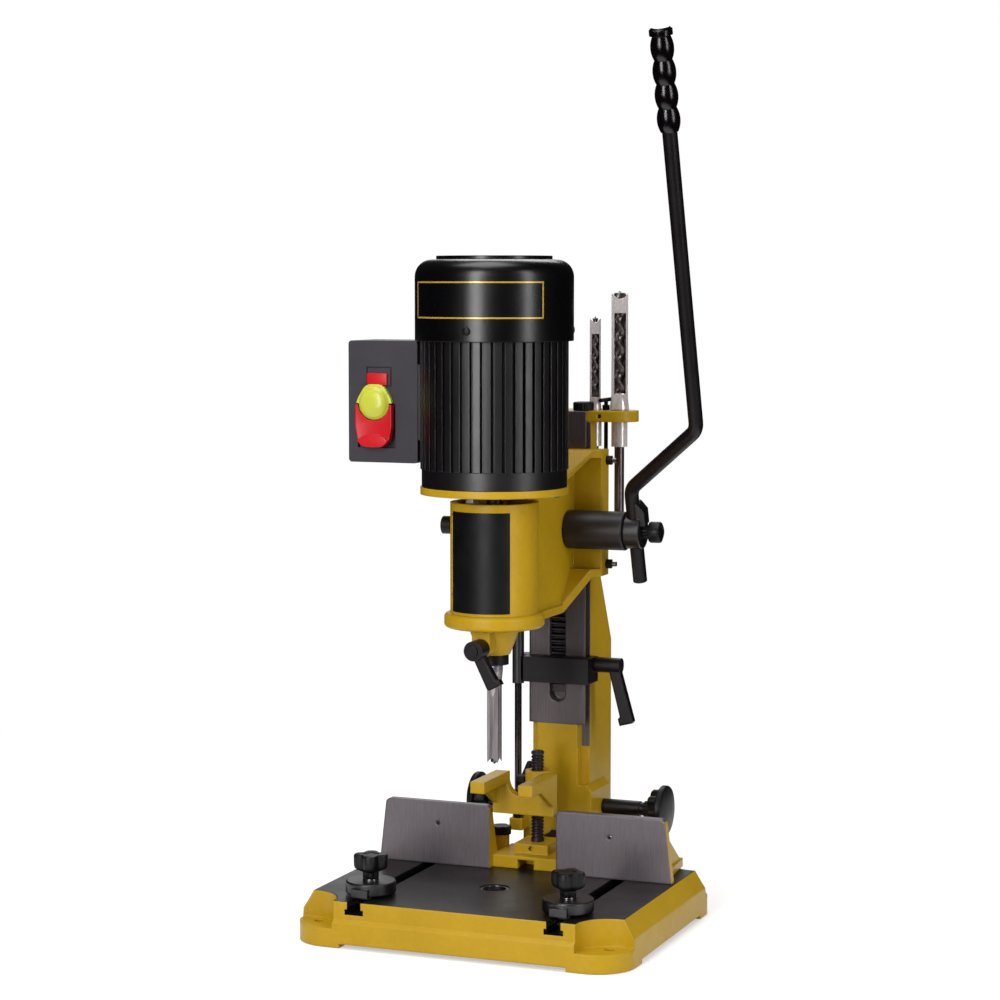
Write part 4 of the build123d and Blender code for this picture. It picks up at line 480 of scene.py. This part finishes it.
spindleY = (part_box("rotor_shaft")[0].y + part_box("rotor_shaft")[1].y) / 2
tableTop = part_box("table_ring")[1].z + 0.001
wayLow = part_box("feed_rack")[0].z - 0.0364  # lower end of the dovetail
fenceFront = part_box("fence")[0].y
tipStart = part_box("gib_screws")[1].x - 0.0045

tableMarks = {"skin": 0.0004, "slotDepth": 0.0146, "slotAcross": (0.1056, 0.128),
              "slotAlong": (-0.1629, 0.1325), "hole": 0.018}
columnMarks = {"skin": 0.0005, "back": 0.1745, "stripFrom": 0.0255, "stripLow": 0.178}
fenceMarks = {"skin": 0.0004, "rimLow": 0.1, "rimDepth": 0.012, "holeAcross": (0.103, 0.1084),
              "holeHigh": (0.0968, 0.1022)}


def bareTable(tree):  # top, T-slots and the wall of the hole
    at, facing = readPlace(tree)
    top = allOf(tree, over(tree, at["Z"], tableTop - tableMarks["skin"]), over(tree, facing["Z"], squarely))
    slots = allOf(tree, over(tree, at["Z"], tableTop - tableMarks["slotDepth"]),
                  between(tree, calc(tree, "ABSOLUTE", at["X"]), *tableMarks["slotAcross"]),
                  between(tree, at["Y"], *tableMarks["slotAlong"]))
    off = calc(tree, "POWER", calc(tree, "ADD", at["Y"], -spindleY), 2.0)
    away = calc(tree, "MULTIPLY_ADD", at["X"], at["X"], off)
    return anyOf(tree, top, slots, under(tree, away, tableMarks["hole"] ** 2))


def bareColumn(tree):  # dovetail and the strip on its right
    at, facing = readPlace(tree)
    front = under(tree, at["Y"], columnMarks["back"])
    ways = allOf(tree, over(tree, at["Z"], wayLow - columnMarks["skin"]), front)
    strip = allOf(tree, over(tree, at["X"], columnMarks["stripFrom"]), under(tree, facing["Y"], -squarely),
                  over(tree, at["Z"], columnMarks["stripLow"]), front)
    return anyOf(tree, ways, strip)


def bareFence(tree):  # faces, their top rims and the small holes
    at, facing = readPlace(tree)
    face = allOf(tree, under(tree, facing["Y"], -squarely),
                 under(tree, at["Y"], fenceFront + fenceMarks["skin"]))
    rim = allOf(tree, over(tree, facing["Z"], mostly), over(tree, at["Z"], fenceMarks["rimLow"]),
                under(tree, at["Y"], fenceFront + fenceMarks["rimDepth"]))
    holes = allOf(tree, between(tree, calc(tree, "ABSOLUTE", at["X"]), *fenceMarks["holeAcross"]),
                  between(tree, at["Z"], *fenceMarks["holeHigh"]))
    return anyOf(tree, face, rim, holes)


def bareTips(tree):  # ends of the gib screws
    at = readPlace(tree)[0]
    return over(tree, at["X"], tipStart)


paints = {"castPaint": mustard, "motorPaint": motorBlack, "glossPaint": glossBlack, "hubPaintedSheen": hubBlackPaintedSheen,
          "blackSteel": steelBlack, "blackKnob": knobBlack, "gripRubber": gripBlack,
          "switchShell": switchGrey, "stopRed": paddleRed, "keyYellow": keyYellow}
metals = {"brightSteel": brightSteel, "toolSteelPaintedStreaks": toolSteelPaintedStreaks, "chiselSteelPaintedReflection": chiselSteelPaintedReflection,
          "twistSteel": twistSteel, "goldTrim": goldTrim, "chromePaintedDarkReflection": chromePaintedDarkReflection, "rackSteel": rackSteel,
          "gibBrass": gibBrass, "coreIron": coreIron}
machined = {"tablePaint": (mustard, tableIronPaintedDarkReflection, bareTable), "columnPaint": (mustard, wayIron, bareColumn),
            "fencePaint": (mustard, fenceIron, bareFence), "screwSteel": (steelBlack, brightSteel, bareTips)}
finishes = {name: paintFinish(name, look) for name, look in paints.items()}
finishes.update({name: metalFinish(name, look) for name, look in metals.items()})
finishes.update({name: machinedFinish(name, *looks) for name, looks in machined.items()})
slotFinish = {"casting_paint": "castPaint", "black_paint": "motorPaint", "machined_steel": "brightSteel",
              "tool_steel": "toolSteelPaintedStreaks", "black_steel": "blackSteel", "black_plastic": "blackKnob",
              "grip_rubber": "gripRubber", "switch_plastic": "switchShell", "red_plastic": "stopRed",
              "yellow_plastic": "keyYellow", "bright_rod": "chromePaintedDarkReflection", "brass_gib": "gibBrass",
              "iron_core": "coreIron"}
nodeFinish = {"base_casting": "tablePaint", "column": "columnPaint", "fence": "fencePaint",
              "fan_cover": "glossPaint", "feed_hub": "hubPaintedSheen", "gib_screws": "screwSteel",
              "depth_stop_block": "blackSteel", "hold_down_post": "rackSteel", "feed_rack": "rackSteel",
              "drill_chuck": "toolSteelPaintedStreaks", "clamp_bolt_left": "brightSteel", "clamp_bolt_right": "brightSteel",
              "stored_chisel_large": "chiselSteelPaintedReflection", "stored_chisel_small": "chiselSteelPaintedReflection"}


def dressNodes():
    for part in frame["record"]["subparts"]:
        chosen = nodeFinish.get(part["node"]) or slotFinish[part["material_slot"]]
        nodes[part["node"]].material_slots[0].material = finishes[chosen]


dressNodes()
print("finishes are on the nodes")


# Pieces modelled here ride on the CAD's bodies, and most stand in for a CAD node

slotOf = {finish: slot for slot, finish in slotFinish.items()}
slotOf.update({"goldTrim": "brass_gib", "twistSteel": "tool_steel"})
pickRoom, leastDepth = 1.0, 3.0  # mm, when points and edges are picked by their place


def chooseOnly(*pieces):  # selects them, the first one active
    bpy.ops.object.select_all(action="DESELECT")
    for piece in pieces:
        piece.select_set(True)
    bpy.context.view_layer.objects.active = pieces[0]


def pickPoints(piece, test):
    bpy.ops.mesh.select_mode(type="VERT")
    bpy.ops.mesh.select_all(action="DESELECT")
    shape = bmesh.from_edit_mesh(piece.data)
    for point in shape.verts:
        if test(point.co):
            point.select_set(True)
    bmesh.update_edit_mesh(piece.data)


def pickCorners(piece, test):  # edges that run front to back
    bpy.ops.mesh.select_mode(type="EDGE")
    bpy.ops.mesh.select_all(action="DESELECT")
    shape = bmesh.from_edit_mesh(piece.data)
    for edge in shape.edges:
        ends = [point.co for point in edge.verts]
        if abs(ends[0].y - ends[1].y) > leastDepth * mm and test(ends):
            edge.select_set(True)
    bmesh.update_edit_mesh(piece.data)


def shapeOutline(piece, outline):  # draws the points of the first ring in or out
    points = bmesh.from_edit_mesh(piece.data).verts
    shares = sorted({round(outline(bearing(point.co)), 3) for point in points})
    for share in shares:
        pickPoints(piece, lambda co: round(outline(bearing(co)), 3) == share)
        bpy.ops.transform.resize(value=(share, share, 1), center_override=(0, 0, 0))


def turnUp(name, rings, sides=48, outline=None):  # rings of radius, height in mm and, if twisted, degrees
    bpy.ops.object.select_all(action="DESELECT")
    bpy.ops.mesh.primitive_circle_add(vertices=sides, radius=rings[0][0] * mm, fill_type="NGON")
    piece = bpy.context.object
    piece.name = name
    bpy.ops.object.mode_set(mode="EDIT")
    if outline:
        shapeOutline(piece, outline)
    bpy.ops.mesh.select_all(action="SELECT")
    bpy.ops.transform.translate(value=(0, 0, rings[0][1] * mm))
    for low, high in zip(rings, rings[1:]):
        grow, centre = high[0] / low[0], (0, 0, high[1] * mm)
        bpy.ops.mesh.extrude_region_move(TRANSFORM_OT_translate={"value": (0, 0, (high[1] - low[1]) * mm)})
        bpy.ops.transform.resize(value=(grow, grow, 1), center_override=centre)
        if len(high) > 2:
            bpy.ops.transform.rotate(value=math.radians(high[2]), orient_axis="Z", center_override=centre)
    bpy.ops.mesh.select_all(action="SELECT")
    bpy.ops.mesh.normals_make_consistent(inside=False)
    bpy.ops.object.mode_set(mode="OBJECT")
    return piece


def soften(piece, width, segments=3, angle=30):
    chooseOnly(piece)
    corners = piece.modifiers.new("corners", "BEVEL")
    corners.width = width * mm
    corners.segments = segments
    corners.limit_method = "ANGLE"
    corners.angle_limit = math.radians(angle)
    bpy.ops.object.modifier_apply(modifier=corners.name)


def addBlock(name, low, high):  # a box between two corners in mm
    bpy.ops.object.select_all(action="DESELECT")
    bpy.ops.mesh.primitive_cube_add(size=1, location=[(a + b) / 2 * mm for a, b in zip(low, high)])
    piece = bpy.context.object
    piece.name = name
    piece.scale = [(b - a) * mm for a, b in zip(low, high)]
    bpy.ops.object.transform_apply(location=True, rotation=True, scale=True)
    return piece


def carve(piece, cutter, operation="DIFFERENCE"):
    chooseOnly(piece)
    cut = piece.modifiers.new("cut", "BOOLEAN")
    cut.operation = operation
    cut.solver = "EXACT"
    cut.object = cutter
    bpy.ops.object.modifier_apply(modifier=cut.name)
    bpy.data.objects.remove(cutter)


def place(piece, at=(0, 0, 0), turn=(0, 0, 0)):  # at in metres, turned by degrees about X, Y and Z
    chooseOnly(piece)
    piece.rotation_euler = [math.radians(angle) for angle in turn]
    piece.location = at
    bpy.ops.object.transform_apply(location=True, rotation=True, scale=True)
    return piece


def copyPiece(piece, name):
    chooseOnly(piece)
    bpy.ops.object.duplicate(linked=False)
    bpy.context.object.name = name
    return bpy.context.object


def joinPieces(first, *others):
    chooseOnly(first, *others)
    bpy.ops.object.join()
    return first


def settle(piece, body, finish, *stands, smooth=35):
    chooseOnly(piece)
    bpy.ops.object.shade_smooth_by_angle(angle=math.radians(smooth))
    piece.data.materials.clear()
    piece.data.materials.append(finishes[finish])
    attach(piece, body)
    if stands:
        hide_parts(*stands)


def middleOf(name):
    low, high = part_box(name)
    return (low + high) / 2


def lobes(count, depth, narrow=1.6):  # outline of a star knob, its lobes broad and its dips narrow
    return lambda angle: 1 - depth * (0.5 - 0.5 * math.cos(math.radians(count * angle))) ** narrow


def knurls(count, depth):
    return lambda angle: 1 - depth * (math.cos(math.radians(count * angle)) < 0)


def waves(count, middle, depth):
    return lambda angle: middle + depth * math.cos(math.radians(count * angle))


def flatBar(web):  # an ellipse, its short axis a share of the long one
    return lambda angle: 1 / math.hypot(math.cos(math.radians(angle)), math.sin(math.radians(angle)) / web)


def makeFanScrews():
    form = {"rings": [(4.3, -0.4), (4.6, 0.3), (4.5, 1.1), (3.9, 1.8), (2.8, 2.3), (1.2, 2.5)],
            "recess": (0.6, 2.0), "depth": 1.2, "proud": 1.0, "angles": (32, 152, 272)}
    screw = turnUp("fanScrew", form["rings"], sides=32)
    thin, wide = form["recess"]
    top = form["rings"][-1][1]
    for across, along in ((thin, wide), (wide, thin)):
        carve(screw, addBlock("recess", (-across, -along, top - form["depth"]),
                              (across, along, top + form["proud"])))
    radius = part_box("fan_cover")[1].x
    level = middleOf("fan_cover_screws").z
    heads = []
    for angle in form["angles"]:
        head = copyPiece(screw, "fanScrewHead")
        across, back = math.cos(math.radians(angle)) * radius, math.sin(math.radians(angle)) * radius
        heads.append(place(head, (across, spindleY + back, level), (0, 90, angle)))
    bpy.data.objects.remove(screw)
    settle(joinPieces(*heads), "head", "blackSteel", "fan_cover_screws")


# a sheet round the spindle or, with a line in mm and its side in degrees, only the sheet's border
def curvedSheet(name, radius, angles, heights, thick, line=0.0, side=0.0):
    low, high = heights
    first, last = angles
    bpy.ops.object.select_all(action="DESELECT")
    bpy.ops.mesh.primitive_cylinder_add(vertices=360, radius=radius, depth=(high - low) * mm,
                                        end_fill_type="NOTHING", location=(0, 0, (low + high) / 2 * mm))
    piece = bpy.context.object
    piece.name = name
    bpy.ops.object.transform_apply(location=True, rotation=True, scale=True)
    bpy.ops.object.mode_set(mode="EDIT")
    for level in (low + line, high - line) if line else ():
        bpy.ops.mesh.select_all(action="SELECT")
        bpy.ops.mesh.bisect(plane_co=(0, 0, level * mm), plane_no=(0, 0, 1))
    pickFaces(piece, lambda co, out: not first < bearing(co) < last)
    bpy.ops.mesh.delete(type="FACE")
    if line:
        pickFaces(piece, lambda co, out: first + side < bearing(co) < last - side
                  and (low + line) * mm < co.z < (high - line) * mm)
        bpy.ops.mesh.delete(type="FACE")
    bpy.ops.object.mode_set(mode="OBJECT")
    skin = piece.modifiers.new("skin", "SOLIDIFY")
    skin.thickness = thick * mm
    skin.offset = 1
    bpy.ops.object.modifier_apply(modifier=skin.name)
    return place(piece, (0, spindleY, 0))


def makePlates():
    trim = {"radius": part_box("fan_cover")[1].x, "angles": (-140, -31), "heights": (689, 729),
            "thick": 0.35, "line": 1.7, "side": 1.2}
    plain = {"radius": 49 * mm, "angles": (-136, -48), "heights": (366, 477), "thick": 0.5}
    settle(curvedSheet("trimFrame", **trim), "head", "goldTrim")
    settle(curvedSheet("blankPlate", **plain), "head", "blackKnob")


def makeBit(name, form):  # shank below, flutes above, as it would be drawn from the shank's end
    ends = {"chamfer": (0.6, 0.8), "lead": 3.0, "shoulder": (0.9, 2.4), "neck": (0.3, 1.6), "point": 0.3}
    low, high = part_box(name)
    total, reach = (high.z - low.z) / mm, form["flutes"]
    thick, radius = form["shank"], form["radius"]
    inset, rise = ends["chamfer"]
    shank = turnUp("shank", [(thick - inset, 0), (thick, rise), (thick, total - reach)], sides=24)
    count = round((reach - ends["lead"]) / form["step"])
    rings = [(radius, total - reach + k * form["step"], form["turn"]) for k in range(count)]
    share, below = ends["shoulder"]
    rings.append((share * radius, total - below, form["turn"]))
    share, below = ends["neck"]
    rings += [(share * radius, total - below), (ends["point"], total)]
    bar = turnUp(name + "Twist", rings, sides=28, outline=flatBar(form["web"]))
    bit = joinPieces(bar, shank)
    at = middleOf(name)
    if form["up"]:
        place(bit, (at.x, at.y, low.z))
    else:
        place(bit, (at.x, at.y, high.z), (180, 0, 0))
    settle(bit, form["body"], "twistSteel", name)


def makeBits():
    forms = {
        "auger_bit": {"body": "spindle", "up": False, "radius": 4.8, "shank": 4.0, "flutes": 150, "step": 1.3,
                      "turn": 16, "web": 0.42},
        "stored_bit_large": {"body": "stored_large", "up": True, "radius": 7.85, "shank": 5.8, "flutes": 138,
                             "step": 2.1, "turn": 17, "web": 0.5},
        "stored_bit_small": {"body": "stored_small", "up": True, "radius": 5.15, "shank": 4.5, "flutes": 108,
                             "step": 1.5, "turn": 17, "web": 0.5},
    }
    for name, form in forms.items():
        makeBit(name, form)


def makeSafetyKey():
    form = {"rings": [(6.4, 0), (7, 0.6), (7, 15.2), (17.8, 15.2), (18.5, 16), (18.5, 21.6), (17.9, 22.4),
                      (17.2, 22.8), (16.6, 23.9), (15, 25.6), (12.4, 27), (9, 27.8), (4, 28.3), (1, 28.3)],
            "cap": 10.4, "thick": 6.6, "narrows": 3.0, "round": 6.0, "edge": 1.0}
    low, high = [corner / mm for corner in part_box("safety_key")]
    across = (low.x + high.x) / 2
    centre = low.z + form["rings"][4][0]
    key = turnUp("keyDome", form["rings"], sides=64)
    place(key, (across * mm, high.y * mm, centre * mm), (90, 0, 0))
    face = high.y - form["rings"][2][1]
    lid = addBlock("keyLid", (low.x, face - form["thick"], centre), (high.x, face, high.z))
    chooseOnly(lid)
    bpy.ops.object.mode_set(mode="EDIT")
    bpy.ops.mesh.select_all(action="SELECT")
    bpy.ops.mesh.bisect(plane_co=(0, 0, (centre + form["narrows"]) * mm), plane_no=(0, 0, 1))
    pickPoints(lid, lambda co: co.z > (high.z - pickRoom) * mm)
    share = form["cap"] / ((high.x - low.x) / 2)
    bpy.ops.transform.resize(value=(share, 1, 1), center_override=(across * mm, 0, 0))
    pickCorners(lid, lambda ends: min(end.z for end in ends) > (centre + pickRoom) * mm)
    bpy.ops.mesh.bevel(offset=form["round"] * mm, segments=8)
    bpy.ops.object.mode_set(mode="OBJECT")
    soften(lid, form["edge"])
    settle(joinPieces(key, lid), "key", "keyYellow", "safety_key")


def makeStopPaddle():
    form = {"pins": 3.0, "thick": 9.0, "taper": 0.8, "lower": 11.0, "dish": 2.4, "sink": 0.7, "ledge": 3.0,
            "ledgeTop": 15.0, "ledgeRound": 27.0, "ledgeEdge": 1.0, "edge": 0.8, "bite": 19.2, "keyLid": 2.5,
            "cutter": 30}
    low, high = [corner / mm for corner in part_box("stop_paddle")]
    keyLow, keyHigh = [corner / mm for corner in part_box("safety_key")]
    front = low.y + form["ledge"]
    across = (low.x + high.x) / 2
    paddle = addBlock("paddle", (low.x + form["pins"], front, low.z),
                      (high.x - form["pins"], front + form["thick"], high.z))
    chooseOnly(paddle)
    bpy.ops.object.mode_set(mode="EDIT")
    bpy.ops.mesh.select_all(action="SELECT")
    bpy.ops.mesh.bisect(plane_co=(0, 0, (low.z + high.z) / 2 * mm), plane_no=(0, 0, 1))
    pickPoints(paddle, lambda co: co.z < (low.z + pickRoom) * mm)
    bpy.ops.transform.resize(value=(form["taper"], 1, 1), center_override=(across * mm, 0, 0))
    pickCorners(paddle, lambda ends: max(end.z for end in ends) < (low.z + pickRoom) * mm)
    bpy.ops.mesh.bevel(offset=form["lower"] * mm, segments=8)
    bpy.ops.object.mode_set(mode="OBJECT")
    ledge = place(copyPiece(paddle, "fingerLedge"), (0, -form["ledge"] * mm, 0))
    radius, reach = form["ledgeRound"], form["cutter"]
    arch = turnUp("arch", [(radius, -reach), (radius, reach)], sides=96)
    place(arch, (across * mm, front * mm, (low.z + form["ledgeTop"] - radius) * mm), (90, 0, 0))
    carve(ledge, arch, "INTERSECT")
    soften(ledge, form["ledgeEdge"])
    chooseOnly(paddle)
    bpy.ops.object.mode_set(mode="EDIT")
    pickFaces(paddle, lambda co, out: out.y < -squarely)
    bpy.ops.mesh.inset(thickness=form["dish"] * mm, depth=-form["sink"] * mm)
    bpy.ops.object.mode_set(mode="OBJECT")
    soften(paddle, form["edge"])
    bite = turnUp("bite", [(form["bite"], -reach), (form["bite"], reach)], sides=64)
    domeHigh = keyHigh.z - form["keyLid"]
    place(bite, (across * mm, front * mm, (domeHigh - (domeHigh - keyLow.z) / 2) * mm), (90, 0, 0))
    carve(paddle, bite)
    settle(joinPieces(paddle, ledge), "stop", "stopRed", "stop_paddle")


def makeSwitchTab():
    form = {"tab": (-144.6, -120.0, 613.5, 627.0), "tabProud": 2.4, "tabEdge": 1.1,
            "window": (-145.6, -115.6, 612.5, 634.0), "windowProud": 0.7, "windowEdge": 0.2, "line": 0.9,
            "sunk": 0.5, "cutter": 5}
    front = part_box("switch_box")[0].y / mm
    back = front + form["sunk"]
    left, right, low, high = form["tab"]
    tab = addBlock("resetTab", (left, front - form["tabProud"], low), (right, back, high))
    soften(tab, form["tabEdge"])
    settle(tab, "head", "stopRed")
    left, right, low, high = form["window"]
    rim = addBlock("tabWindow", (left, front - form["windowProud"], low), (right, back, high))
    line, reach = form["line"], form["cutter"]
    carve(rim, addBlock("windowHole", (left + line, front - reach, low + line),
                        (right - line, front + reach, high - line)))
    soften(rim, form["windowEdge"], segments=2)
    settle(rim, "head", "blackKnob")


def makeClampKnobs():
    form = {"rings": [(8.6, 0), (9, 0.6), (9, 6.6), (10.5, 7.6), (15.6, 9.4), (18, 11.6), (18.8, 14),
                      (19, 24.6), (18.4, 26.2), (17, 27), (9.5, 27), (8.8, 26.2), (3, 26)],
            "lobes": (4, 0.32), "turn": {"left": 20, "right": 0}}
    for side, turn in form["turn"].items():
        name = "clamp_knob_" + side
        at = middleOf(name)
        knob = turnUp("starKnob_" + side, form["rings"], sides=96, outline=lobes(*form["lobes"]))
        place(knob, (at.x, at.y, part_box(name)[0].z), (0, 0, turn))
        settle(knob, name, "blackKnob", name)


def makeFenceKnobs():
    form = {"wheel": [(26, 8), (29.2, 8.6), (30, 9.6), (30, 14.5), (29, 16), (26, 17), (12, 18.4), (4, 18.8)],
            "grip": [(9, -4), (22, -3.4), (24.5, -1), (25, 9)], "flutes": (8, 0.2),
            "stem": [(9.5, -12), (10, -11.4), (10, 0)], "ribs": (14, 0.12)}
    low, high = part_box("fence_knobs")
    at = middleOf("fence_knobs")
    top = form["wheel"][-1][1]
    knobs = []
    for side, face in ((-1, low.x), (1, high.x)):
        wheel = turnUp("fenceWheel", form["wheel"], sides=72)
        grip = turnUp("fenceGrip", form["grip"], sides=96, outline=lobes(*form["flutes"]))
        stem = turnUp("fenceStem", form["stem"], sides=84, outline=knurls(*form["ribs"]))
        knob = joinPieces(wheel, grip, stem)
        knobs.append(place(knob, (face - side * top * mm, at.y, at.z), (0, 90 * side, 0)))
    settle(joinPieces(*knobs), "fence_drive", "blackKnob", "fence_knobs")


def makeIndexKnob():
    form = {"stem": [(7.6, 0), (8, 0.5), (8, 14)], "ribs": (10, 0.14),
            "head": [(9.4, 8), (11.4, 8.6), (12.2, 10), (12.2, 20.6), (11.4, 22.2), (10, 22.8), (7.8, 22.8),
                     (7.2, 22), (2, 21.8)], "waves": (4, 0.96, 0.05)}
    at = middleOf("index_knob")
    stem = turnUp("indexStem", form["stem"], sides=80, outline=knurls(*form["ribs"]))
    head = turnUp("indexHead", form["head"], sides=64, outline=waves(*form["waves"]))
    knob = joinPieces(head, stem)
    top = max(height for radius, height in form["head"])
    place(knob, (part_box("index_knob")[1].x - top * mm, at.y, at.z), (0, 90, 0))
    settle(knob, "index_knob", "blackKnob", "index_knob")


def makeThumbScrews():
    form = {"rings": [(11.2, 0), (12.3, 0.9), (12.3, 8.6), (11.4, 9.8), (9.4, 10.2), (8.8, 9.4), (2, 9.2)],
            "knurl": (24, 0.05), "across": 24.0}
    at = middleOf("tool_holder_screws")
    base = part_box("tool_holder")[1].z
    heads = []
    for side in (-1, 1):
        head = turnUp("thumbScrew", form["rings"], sides=96, outline=knurls(*form["knurl"]))
        heads.append(place(head, (side * form["across"] * mm, at.y, base)))
    settle(joinPieces(*heads), "frame", "blackKnob", "tool_holder_screws")


makeFanScrews()
makePlates()
makeBits()
print("screws, plates and bits are modelled")
makeSafetyKey()
makeStopPaddle()
makeSwitchTab()
print("switch is modelled")
makeClampKnobs()
makeFenceKnobs()
makeIndexKnob()
makeThumbScrews()
print("knobs are modelled")
